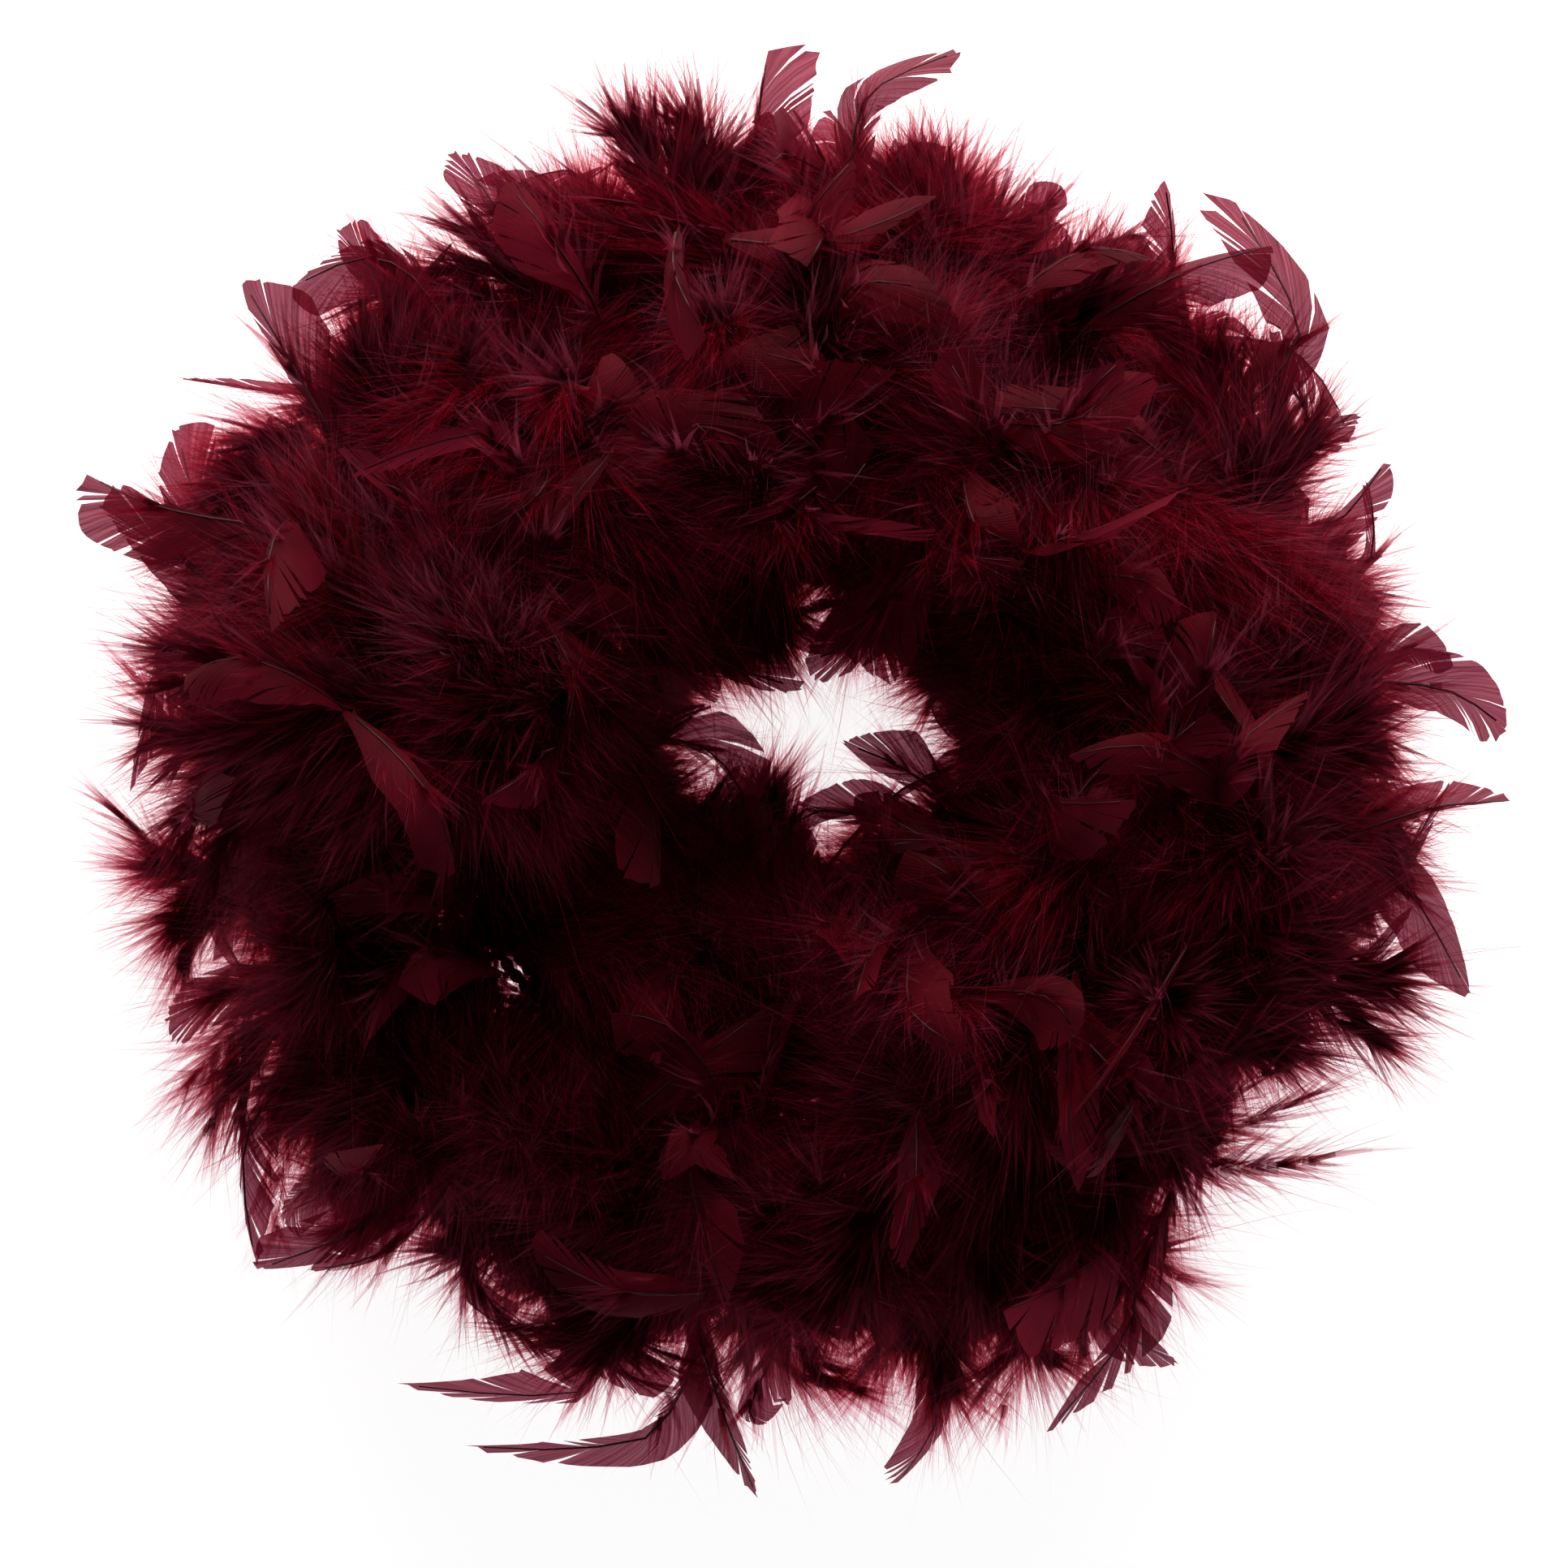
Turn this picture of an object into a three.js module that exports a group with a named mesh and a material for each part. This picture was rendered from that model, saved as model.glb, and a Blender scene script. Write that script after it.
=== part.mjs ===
// A feather boa: a twisted cord that carries short downy feathers all along it, laid down in a loose
// round coil. Units are millimetres and +Z is up. The coil rests on z = 0 and the origin is the centre
// of its footprint.

import * as THREE from 'three';

// ---- Driving dimensions ----------------------------------------------------------------------------

const BOA_LENGTH = 1830; // the core cord, from end to end
const CORD_DIAMETER = 4;
const CORD_SIDES = 8;
const CORD_STEPS = 82;

const COIL_RADIUS = 109.5; // mean distance of the cord from the coil's centre
const COIL_LEAN = 9; // how far the turns lie over to one side, so that the hole is off centre
const LEAN_ANGLE = 56; // the side they lie over to, in degrees from +X
const START_ANGLE = -34; // where the lower end lies
const FIRST_HEIGHT = 27; // the cord's height in the lowest turn
const TURN_PITCH = 50; // each turn lies this much higher than the one under it
const CLIMB_ANGLE = 90; // the last part of each turn, over which it climbs on to the next

const PLUME_SECTIONS = 20;
const PLUME_HALF_WIDTH = 63; // from the cord out to the tips of the downy feathers
const PLUME_SQUEEZE = 8; // they are shorter by up to this on the side the coil leans to
const CROWN_HEIGHT = 40; // feathers above the cord where no turn lies on them
const DROOP_HEIGHT = 40; // feathers under the cord where no turn lies below it
const LAYER_GAP = 0.3; // between a turn and the one that lies on it
const CORD_CLEARANCE = 0.6; // between the cord and the feathers round it
const LOBES = 10; // bunches of feathers round one section
const LOBE_VALLEY = 0.21; // the share of a bunch's length at which it joins its neighbour
const LOBE_HALF_TIP = 4; // half the width of a bunch's blunt tip, in degrees
const PLUME_SQUARENESS = 0.85; // below 1 the oval section is fuller than an ellipse

const WHIPPING_LENGTH = 9;
const WHIPPING_THICKNESS = 1.1;
const WHIPPING_CLEARANCE = 0.5; // between the thread and the cord
const WHIPPING_INSET = 6; // from the cord's end
const KNOT_LENGTH = 10;
const KNOT_DIAMETER = 11;
const SEAT_GAP = 0.3; // between two pieces that touch

const QUILL = 1.8; // thickness of a flat feather's quill
const VANE_THICKNESS = 0.9;
const VANE_STATIONS = 7;
const SLEEVE_EXIT = 2.5; // how far past the plumage a quill runs before the feather bends

// A flat feather: joint is the gap between two sections that it grows from, and rise is its quill's
// direction there in degrees (0 is outwards, 90 is up, 180 is to the hole). Its tip lies swing degrees
// round the coil from there, past millimetres further out than the cord, and lift millimetres above the
// height that the cord has at the tip's angle. bow pushes its middle sideways.
const EDGE_FLATS = [
  { joint: 18, rise: 22, swing: -9, past: 110, lift: 4, bow: 16, width: 20 },
  { joint: 2, rise: 8, swing: -2, past: 96, lift: 7, bow: -12, width: 24 },
  { joint: 10, rise: 10, swing: 5, past: 95, lift: 11, bow: 8, width: 22 },
  { joint: 17, rise: 12, swing: 16, past: 108, lift: -7, bow: -6, width: 20 },
  { joint: 9, rise: 6, swing: 1, past: 109, lift: -7, bow: 10, width: 19 },
  { joint: 1, rise: 6, swing: -1, past: 92, lift: -3, bow: -9, width: 20 },
  { joint: 16, rise: 14, swing: 4, past: 117, lift: -12, bow: 15, width: 16 },
  { joint: 8, rise: 8, swing: 16, past: 104, lift: -5, bow: 8, width: 15 },
  { joint: 16, rise: -8, swing: -13, past: 122, lift: -30, bow: -14, width: 24 },
  { joint: 7, rise: 8, swing: 6, past: 131, lift: -33, bow: 6, width: 22 },
  { joint: 15, rise: 6, swing: -17, past: 118, lift: -16, bow: -14, width: 18 },
  { joint: 14, rise: 12, swing: 7, past: 128, lift: -23, bow: 12, width: 17 },
  { joint: 6, rise: 8, swing: 8, past: 108, lift: -3, bow: -9, width: 21 },
  { joint: 14, rise: -10, swing: -19, past: 137, lift: -26, bow: 10, width: 17 },
  { joint: 6, rise: -8, swing: -18, past: 133, lift: -5, bow: 14, width: 19 },
  { joint: 13, rise: 16, swing: 13, past: 123, lift: 12, bow: -8, width: 18 },
  { joint: 5, rise: 10, swing: -1, past: 117, lift: 7, bow: -10, width: 20 },
  { joint: 12, rise: -4, swing: 21, past: 94, lift: -4, bow: 8, width: 16 },
  { joint: 12, rise: 18, swing: -6, past: 126, lift: 15, bow: -12, width: 24 },
  { joint: 4, rise: 6, swing: -8, past: 123, lift: -1, bow: 12, width: 25 },
  { joint: 19, rise: 16, swing: 12, past: 94, lift: 3, bow: -7, width: 20 },
  { joint: 19, rise: -6, swing: 2, past: 107, lift: -9, bow: 12, width: 17 },
  { joint: 11, rise: 12, swing: 0, past: 113, lift: 9, bow: -9, width: 21 },
  { joint: 11, rise: -8, swing: -16, past: 90, lift: -9, bow: -6, width: 15 },
];
const CROWN_FLATS = [
  { joint: 18, rise: 74, swing: -15, past: 34, lift: 51, bow: 14, width: 24 },
  { joint: 18, rise: 98, swing: 17, past: 8, lift: 55, bow: -10, width: 20 },
  { joint: 17, rise: 84, swing: -4, past: 28, lift: 53, bow: 12, width: 19 },
  { joint: 14, rise: 84, swing: -1, past: 25, lift: 63, bow: -12, width: 24 },
  { joint: 15, rise: 86, swing: -2, past: 17, lift: 57, bow: -6, width: 20 },
  { joint: 19, rise: 92, swing: 25, past: 6, lift: 53, bow: 12, width: 22 },
];
const HOLE_FLATS = [
  { joint: 19, rise: 170, swing: -78, past: -81, lift: 6, bow: 10, width: 22 },
  { joint: 16, rise: 172, swing: 47, past: -94, lift: -5, bow: -10, width: 20 },
  { joint: 12, rise: 172, swing: 100, past: -90, lift: 0, bow: 10, width: 18 },
  { joint: 8, rise: 176, swing: -60, past: -106, lift: 25, bow: 6, width: 18 },
];

// ---- The cord's way --------------------------------------------------------------------------------

const radians = THREE.MathUtils.degToRad;
const cordRadius = CORD_DIAMETER / 2;
const sectionGap = QUILL + 2 * SEAT_GAP; // between two sections, where the quills of the flats come out
const up = new THREE.Vector3(0, 0, 1);

function outwards(angle) {
  return new THREE.Vector3(Math.cos(angle), Math.sin(angle), 0);
}

// Distance of the cord from the coil's centre at an angle in radians.
function turnRadius(angle) {
  return COIL_RADIUS + COIL_LEAN * Math.cos(angle - radians(LEAN_ANGLE));
}

// Height of the cord after a number of turns: level, then a smooth climb on to the turn below.
function turnHeight(turns) {
  const climb = CLIMB_ANGLE / 360;
  const whole = Math.floor(turns);
  const step = THREE.MathUtils.smoothstep(turns - whole, 1 - climb, 1);
  return FIRST_HEIGHT + TURN_PITCH * (whole + step);
}

function cordPoint(turns) {
  const angle = radians(START_ANGLE + 360 * turns);
  return outwards(angle)
    .multiplyScalar(turnRadius(angle))
    .setZ(turnHeight(turns));
}

// The number of turns that uses up the cord's whole length.
function turnsInBoa() {
  const stride = 0.0005;
  let turns = 0;
  let length = 0;
  let last = cordPoint(0);
  while (length < BOA_LENGTH) {
    turns += stride;
    const next = cordPoint(turns);
    length += next.distanceTo(last);
    last = next;
  }
  return turns;
}

class CoilCurve extends THREE.Curve {
  constructor(turns) {
    super();
    this.turns = turns;
    this.arcLengthDivisions = 2000;
  }
  getPoint(t) {
    return cordPoint(t * this.turns);
  }
}

const totalTurns = turnsInBoa();
const coil = new CoilCurve(totalTurns);

// Everything that a section or a quill needs to know about one step of the cord.
function stationAt(step) {
  const t = coil.getUtoTmapping(step / CORD_STEPS);
  const point = coil.getPoint(t);
  const turns = t * totalTurns;
  const angle = radians(START_ANGLE + 360 * turns);
  const radial = outwards(angle);
  const around = new THREE.Vector3().crossVectors(up, radial);
  const tangent = coil.getTangent(t);
  return { point, turns, angle, radial, around, tangent };
}

// ---- Solids from rings -----------------------------------------------------------------------------

// A closed mesh from flat vertex and triangle lists.
function closedGeometry(points, triangles) {
  const geometry = new THREE.BufferGeometry();
  const positions = points.flatMap((p) => [p.x, p.y, p.z]);
  geometry.setAttribute('position', new THREE.Float32BufferAttribute(positions, 3));
  geometry.setIndex(triangles.flat());
  geometry.computeVertexNormals();
  return geometry;
}

// The side wall between rings of count points, which start at offset in each ring of size points.
function wall(rings, size, offset, count, inwards) {
  const triangles = [];
  for (let ring = 0; ring + 1 < rings; ring += 1) {
    for (let k = 0; k < count; k += 1) {
      const a = ring * size + offset + k;
      const b = ring * size + offset + ((k + 1) % count);
      const c = a + size;
      const d = b + size;
      const faces = inwards ? [[a, b, c], [c, b, d]] : [[a, c, b], [c, d, b]];
      triangles.push(...faces);
    }
  }
  return triangles;
}

function oval(angle, halfWidth, above, below, share) {
  const c = Math.cos(angle);
  const s = Math.sin(angle);
  const height = s > 0 ? above : below;
  return new THREE.Vector2(
    halfWidth * share * Math.sign(c) * Math.abs(c) ** PLUME_SQUARENESS,
    height * share * Math.sign(s) * Math.abs(s) ** PLUME_SQUARENESS,
  );
}

// ---- Plumage ---------------------------------------------------------------------------------------

// A ramp from 0 to 1 over a stretch of the boa that starts after a number of turns.
function ramp(turns, from, stretch) {
  return THREE.MathUtils.smoothstep(turns, from, from + stretch);
}

// Heights of the plumage over and under the cord. It is squeezed between two turns, and free where
// nothing lies on it or under it.
function plumeHeights(station) {
  const squeezed = (TURN_PITCH - LAYER_GAP) / 2;
  const uncovered = ramp(station.turns, totalTurns - 0.95, 0.1);
  const above = squeezed + (CROWN_HEIGHT - squeezed) * uncovered;
  const supported = ramp(station.turns, 0.82, 0.1);
  const below = DROOP_HEIGHT + (squeezed - DROOP_HEIGHT) * supported;
  return { above, below };
}

// The outline of one ring, with a blunt tip for each bunch and a valley between two bunches.
function plumeOutline(station) {
  const lean = Math.cos(station.angle - radians(LEAN_ANGLE));
  const halfWidth = PLUME_HALF_WIDTH - PLUME_SQUEEZE * lean;
  const { above, below } = plumeHeights(station);
  const outline = [];
  for (let lobe = 0; lobe < LOBES; lobe += 1) {
    const middle = -Math.PI / 2 + (lobe * 2 * Math.PI) / LOBES;
    for (const [turn, share] of [
      [-LOBE_HALF_TIP, 1],
      [LOBE_HALF_TIP, 1],
      [180 / LOBES, LOBE_VALLEY],
    ]) {
      const place = oval(middle + radians(turn), halfWidth, above, below, share);
      place.y = Math.max(place.y, -station.point.z);
      outline.push(place);
    }
  }
  return outline;
}

function boreOutline() {
  const outline = [];
  for (let side = 0; side < CORD_SIDES; side += 1) {
    const angle = (side * 2 * Math.PI) / CORD_SIDES;
    const radius = cordRadius + CORD_CLEARANCE;
    outline.push(new THREE.Vector2(radius * Math.cos(angle), radius * Math.sin(angle)));
  }
  return outline;
}

// A section of plumage from one step of the cord to another: a lobed sleeve with the cord's bore in it.
function plumageGeometry(firstStep, lastStep) {
  const points = [];
  const size = 3 * LOBES + CORD_SIDES;
  for (let step = firstStep; step <= lastStep; step += 1) {
    const station = stationAt(step);
    const end = (step === firstStep ? 1 : 0) - (step === lastStep ? 1 : 0);
    const shift = (end * sectionGap) / 2 / station.tangent.dot(station.around);
    const centre = station.point.clone().addScaledVector(station.tangent, shift);
    for (const place of [...plumeOutline(station), ...boreOutline()]) {
      const point = centre.clone().addScaledVector(station.radial, place.x);
      point.z = Math.max(point.z + place.y, 0);
      points.push(point);
    }
  }
  const rings = lastStep - firstStep + 1;
  const start = endCap(plumeOutline(stationAt(firstStep)), boreOutline());
  const finish = endCap(plumeOutline(stationAt(lastStep)), boreOutline());
  const last = (rings - 1) * size;
  return closedGeometry(points, [
    ...wall(rings, size, 0, 3 * LOBES, false),
    ...wall(rings, size, 3 * LOBES, CORD_SIDES, true),
    ...start,
    ...finish.map(([a, b, c]) => [a + last, c + last, b + last]),
  ]);
}

// Triangles of the face between an outline and its bore, all turned the same way.
function endCap(outline, bore) {
  const places = [...outline, ...bore];
  return THREE.ShapeUtils.triangulateShape(outline, [bore]).map(([a, b, c]) => {
    const area = THREE.ShapeUtils.area([places[a], places[b], places[c]]);
    return area > 0 ? [a, b, c] : [a, c, b];
  });
}

// ---- Flat feathers ---------------------------------------------------------------------------------

// The step of the cord at the gap after a section.
function jointStep(joint) {
  const stepsPerSection = (CORD_STEPS - 2) / PLUME_SECTIONS;
  return 1 + joint * stepsPerSection;
}

// Distance from the cord to the edge of the plumage in a direction of the gap's plane.
function plumeReach(station, rise) {
  const { above, below } = plumeHeights(station);
  const lean = Math.cos(station.angle - radians(LEAN_ANGLE));
  const halfWidth = PLUME_HALF_WIDTH - PLUME_SQUEEZE * lean;
  const height = Math.sin(rise) > 0 ? above : below;
  return 1 / Math.hypot(Math.cos(rise) / halfWidth, Math.sin(rise) / height);
}

// Where a quill starts: on the cord, or further out where another quill in its gap takes the room.
function rootDistance(station, flat, neighbours) {
  const slope = Math.acos(station.tangent.dot(station.around));
  const onCord = (cordRadius + (QUILL / 2) * Math.sin(slope)) / Math.cos(slope) + SEAT_GAP;
  const besideOthers = neighbours.map((other) => {
    const apart = radians(Math.abs(flat.rise - other.rise));
    return (QUILL + SEAT_GAP) / (2 * Math.sin(apart / 2));
  });
  return Math.max(onCord, ...besideOthers);
}

// Half the width of a flat feather's vane, from its quill (0) to its blunt tip (1).
function vaneHalfWidth(share, width) {
  const swell = Math.sin(Math.PI * Math.min(0.08 + 0.82 * share, 1)) ** 0.6;
  return Math.max(QUILL / 2, (width / 2) * swell);
}

// A quill out of the gap between two sections, then a flat vane that bends over to its tip.
function flatFeatherGeometry(flat, neighbours) {
  const station = stationAt(jointStep(flat.joint));
  const rise = radians(flat.rise);
  const direction = station.radial.clone().multiplyScalar(Math.cos(rise));
  direction.addScaledVector(up, Math.sin(rise));
  const rootReach = rootDistance(station, flat, neighbours);
  const root = station.point.clone().addScaledVector(direction, rootReach);
  const exitReach = plumeReach(station, rise) + SLEEVE_EXIT;
  const exit = station.point.clone().addScaledVector(direction, exitReach);
  const tipReach = turnRadius(station.angle) + flat.past;
  const tip = outwards(station.angle + radians(flat.swing)).multiplyScalar(tipReach);
  tip.setZ(turnHeight(station.turns + flat.swing / 360) + flat.lift);
  const span = tip.distanceTo(exit);
  const sideways = new THREE.Vector3().crossVectors(up, tip.clone().sub(exit)).normalize();
  const middle = exit.clone().addScaledVector(direction, span * 0.45);
  middle.addScaledVector(sideways, flat.bow);
  const vane = new THREE.QuadraticBezierCurve3(exit, middle, tip);

  const places = [{ at: root, along: direction, halfWidth: QUILL / 2, thickness: QUILL }];
  for (let k = 0; k < VANE_STATIONS; k += 1) {
    const share = k / (VANE_STATIONS - 1);
    places.push({
      at: vane.getPoint(share),
      along: vane.getTangent(share),
      halfWidth: k === 0 ? QUILL / 2 : vaneHalfWidth(share, flat.width),
      thickness: k === 0 ? QUILL : VANE_THICKNESS,
    });
  }
  const points = [];
  let side = station.around.clone();
  for (const place of places) {
    side = side.addScaledVector(place.along, -side.dot(place.along)).normalize();
    const face = new THREE.Vector3().crossVectors(side, place.along).normalize();
    points.push(
      place.at.clone().addScaledVector(side, place.halfWidth),
      place.at.clone().addScaledVector(face, place.thickness / 2),
      place.at.clone().addScaledVector(side, -place.halfWidth),
      place.at.clone().addScaledVector(face, -place.thickness / 2),
    );
  }
  const last = points.length - 4;
  return closedGeometry(points, [
    ...wall(places.length, 4, 0, 4, false),
    [0, 1, 2],
    [0, 2, 3],
    [last, last + 2, last + 1],
    [last, last + 3, last + 2],
  ]);
}

// ---- Cord, whippings and knots ---------------------------------------------------------------------

function cordGeometry() {
  const section = new THREE.Shape();
  for (let side = 0; side < CORD_SIDES; side += 1) {
    const angle = (side * 2 * Math.PI) / CORD_SIDES;
    const corner = [cordRadius * Math.cos(angle), cordRadius * Math.sin(angle)];
    if (side === 0) {
      section.moveTo(...corner);
    } else {
      section.lineTo(...corner);
    }
  }
  return new THREE.ExtrudeGeometry(section, { steps: CORD_STEPS, extrudePath: coil });
}

// Puts a shape that was turned about Y on the cord, with its y = 0 at a distance past the cord's end.
function placeOnEnd(mesh, atStart, distance) {
  const end = coil.getPointAt(atStart ? 0 : 1);
  const inner = coil.getPointAt((atStart ? 1 : CORD_STEPS - 1) / CORD_STEPS);
  const direction = end.clone().sub(inner).normalize();
  mesh.quaternion.setFromUnitVectors(new THREE.Vector3(0, 1, 0), direction);
  mesh.position.copy(end).addScaledVector(direction, distance);
}

// The stopper knot: a rounded lump with a flat foot on the cord's end and a waist round its middle.
function knotGeometry() {
  const radius = KNOT_DIAMETER / 2;
  const profile = [
    [0, 0],
    [0.62, 0],
    [0.95, 0.16],
    [1, 0.32],
    [0.86, 0.48],
    [0.96, 0.62],
    [0.8, 0.86],
    [0.4, 0.98],
    [0, 1],
  ];
  const outline = profile.map(([r, y]) => new THREE.Vector2(r * radius, y * KNOT_LENGTH));
  return new THREE.LatheGeometry(outline, 12);
}

// Thread wound round the cord: a short sleeve with rounded edges.
function whippingGeometry() {
  const bore = cordRadius + WHIPPING_CLEARANCE;
  const outside = bore + WHIPPING_THICKNESS;
  const chamfer = WHIPPING_THICKNESS / 3;
  const profile = [
    [bore, 0],
    [outside - chamfer, 0],
    [outside, chamfer],
    [outside, WHIPPING_LENGTH - chamfer],
    [outside - chamfer, WHIPPING_LENGTH],
    [bore, WHIPPING_LENGTH],
    [bore, 0],
  ];
  const outline = profile.map(([r, y]) => new THREE.Vector2(r, y));
  return new THREE.LatheGeometry(outline, 12);
}

// ---- Materials and the assembly --------------------------------------------------------------------

function dyed(colour, roughness) {
  return new THREE.MeshStandardMaterial({ color: colour, roughness, metalness: 0 });
}

const cordCotton = dyed('#3a0d18', 0.9);
const whippingThread = dyed('#2c0a12', 0.7);
const downyPlumage = dyed('#5c1220', 0.95);
const flatVane = dyed('#4a101c', 0.55);

const boa = new THREE.Group();

function addPiece(name, geometry, material) {
  const mesh = new THREE.Mesh(geometry, material.clone());
  mesh.name = name;
  boa.add(mesh);
  return mesh;
}

function numbered(name, number) {
  return `${name}_${String(number).padStart(2, '0')}`;
}

addPiece('core_cord', cordGeometry(), cordCotton);

for (const [end, atStart] of [['inner_end', true], ['top_end', false]]) {
  const knot = addPiece(`${end}_knot`, knotGeometry(), cordCotton);
  placeOnEnd(knot, atStart, SEAT_GAP);
  const whipping = addPiece(`${end}_whipping`, whippingGeometry(), whippingThread);
  placeOnEnd(whipping, atStart, -WHIPPING_INSET - WHIPPING_LENGTH);
}

for (let section = 0; section < PLUME_SECTIONS; section += 1) {
  const geometry = plumageGeometry(jointStep(section), jointStep(section + 1));
  addPiece(numbered('plumage', section + 1), geometry, downyPlumage);
}

const placedFlats = [];
for (const [name, flats] of [
  ['edge_flat', EDGE_FLATS],
  ['crown_flat', CROWN_FLATS],
  ['hole_flat', HOLE_FLATS],
]) {
  flats.forEach((flat, index) => {
    const neighbours = placedFlats.filter((other) => other.joint === flat.joint);
    addPiece(numbered(name, index + 1), flatFeatherGeometry(flat, neighbours), flatVane);
    placedFlats.push(flat);
  });
}

// The origin is the centre of the footprint.
const footprint = new THREE.Box3().setFromObject(boa).getCenter(new THREE.Vector3());
boa.position.set(-footprint.x, -footprint.y, 0);

export default boa;
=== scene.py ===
import math

import bpy
import numpy as np
from mathutils import Matrix, Vector


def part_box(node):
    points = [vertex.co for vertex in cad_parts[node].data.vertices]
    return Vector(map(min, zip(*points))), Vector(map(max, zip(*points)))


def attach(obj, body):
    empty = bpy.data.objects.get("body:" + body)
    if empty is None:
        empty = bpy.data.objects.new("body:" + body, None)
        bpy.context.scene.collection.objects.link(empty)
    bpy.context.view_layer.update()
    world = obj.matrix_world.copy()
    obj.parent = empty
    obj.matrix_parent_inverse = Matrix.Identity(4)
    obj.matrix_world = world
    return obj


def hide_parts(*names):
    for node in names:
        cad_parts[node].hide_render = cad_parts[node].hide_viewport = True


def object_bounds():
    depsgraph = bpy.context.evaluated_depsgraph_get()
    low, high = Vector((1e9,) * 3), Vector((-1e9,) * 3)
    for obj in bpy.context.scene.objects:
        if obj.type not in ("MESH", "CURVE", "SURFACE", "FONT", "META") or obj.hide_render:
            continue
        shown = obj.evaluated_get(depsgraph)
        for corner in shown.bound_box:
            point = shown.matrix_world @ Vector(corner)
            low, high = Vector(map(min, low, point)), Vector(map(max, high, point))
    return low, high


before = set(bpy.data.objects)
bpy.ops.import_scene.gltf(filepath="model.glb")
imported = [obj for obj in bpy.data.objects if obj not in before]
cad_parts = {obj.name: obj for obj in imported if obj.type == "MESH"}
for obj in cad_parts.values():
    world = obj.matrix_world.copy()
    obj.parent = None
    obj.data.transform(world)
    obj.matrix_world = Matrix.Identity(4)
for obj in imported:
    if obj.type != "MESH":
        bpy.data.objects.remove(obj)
cad_low, cad_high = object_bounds()

# A dyed turkey feather boa, laid down in a loose round coil on a lit table and seen from above.
# Lengths are in metres, +Z is up, and the coil's footprint is centred on the origin.

MM = 0.001
UP = np.array([0.0, 0.0, 1.0])
ROOT = "root"

# ---- Camera ----------------------------------------------------------------------------------------

VIEW_WIDTH = 483 * MM  # how wide the view is at the height of the boa's middle
VIEW_HEIGHT = 100 * MM  # that height
VIEW_CENTRE = (-1.5 * MM, 3 * MM)
LENS, SENSOR = 85, 36


def place_camera():
    data = bpy.data.cameras.new("camera")
    data.lens, data.sensor_width = LENS, SENSOR
    data.clip_start, data.clip_end = 0.05, 50
    camera = bpy.data.objects.new("camera", data)
    bpy.context.collection.objects.link(camera)
    camera.location = (*VIEW_CENTRE, VIEW_HEIGHT + VIEW_WIDTH * LENS / SENSOR)
    bpy.context.scene.camera = camera


place_camera()

# ---- The coil that the cord lies in ----------------------------------------------------------------

BOA_LENGTH = 1830 * MM
CORD_DIAMETER = 4 * MM
COIL_RADIUS = 109.5 * MM
COIL_LEAN = 9 * MM
LEAN_ANGLE = math.radians(56)
START_ANGLE = math.radians(-34)
FIRST_HEIGHT = 27 * MM
TURN_PITCH = 50 * MM
CLIMB = 90 / 360  # the share of each turn over which it climbs on to the next
CORD_STEPS = 82
TURN_STEP = 0.0005  # how finely the coil is followed, in turns
MOST_TURNS = 3
PLUME_SECTIONS = 20
STEPS_PER_SECTION = (CORD_STEPS - 2) // PLUME_SECTIONS


def smoothstep(x, low, high):
    x = np.clip((np.asarray(x, float) - low) / (high - low), 0, 1)
    return x * x * (3 - 2 * x)


def outwards(angle):
    return np.stack([np.cos(angle), np.sin(angle), np.zeros_like(angle)], -1)


def turn_angle(turns):
    return START_ANGLE + 2 * np.pi * np.asarray(turns, float)


def turn_radius(angle):
    return COIL_RADIUS + COIL_LEAN * np.cos(angle - LEAN_ANGLE)


def turn_height(turns):
    whole = np.floor(turns)
    return FIRST_HEIGHT + TURN_PITCH * (whole + smoothstep(turns - whole, 1 - CLIMB, 1))


def cord_place(turns):
    """Where the cord is after some turns, with the coil's own centre on the Z axis."""
    angle = turn_angle(turns)
    place = outwards(angle) * turn_radius(angle)[..., None]
    place[..., 2] = turn_height(np.asarray(turns, float))
    return place


class Coil:
    """The cord's way, by its length from the lower end."""

    turns = np.arange(0, MOST_TURNS, TURN_STEP)
    places = cord_place(turns)
    run = np.concatenate([[0], np.cumsum(np.linalg.norm(np.diff(places, axis=0), axis=1))])
    total = float(np.interp(BOA_LENGTH, run, turns))


def coil_centre():
    """The coil's own centre in the frame, where the CAD cord says it is."""
    low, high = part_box("core_cord")
    laid = Coil.places[Coil.turns <= Coil.total]
    middle = (laid.max(0) + laid.min(0)) / 2
    return np.array([(low.x + high.x) / 2 - middle[0], (low.y + high.y) / 2 - middle[1], 0])


CENTRE = coil_centre()


def along_cord(length):
    """Where the cord is at a length, or at many, and how many turns it has made by then."""
    turns = np.interp(length, Coil.run, Coil.turns)
    return cord_place(turns) + CENTRE, turns


def cord_direction(turns):
    return unit(cord_place(turns + TURN_STEP) - cord_place(turns - TURN_STEP))


# ---- Small helpers ---------------------------------------------------------------------------------


def unit(v):
    return v / np.maximum(np.linalg.norm(v, axis=-1, keepdims=True), 1e-12)


def across(v, along):
    """The part of v that is square to along, made a unit vector."""
    return unit(v - along * (v * along).sum(-1, keepdims=True))


def deselect():
    bpy.ops.object.select_all(action="DESELECT")


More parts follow.
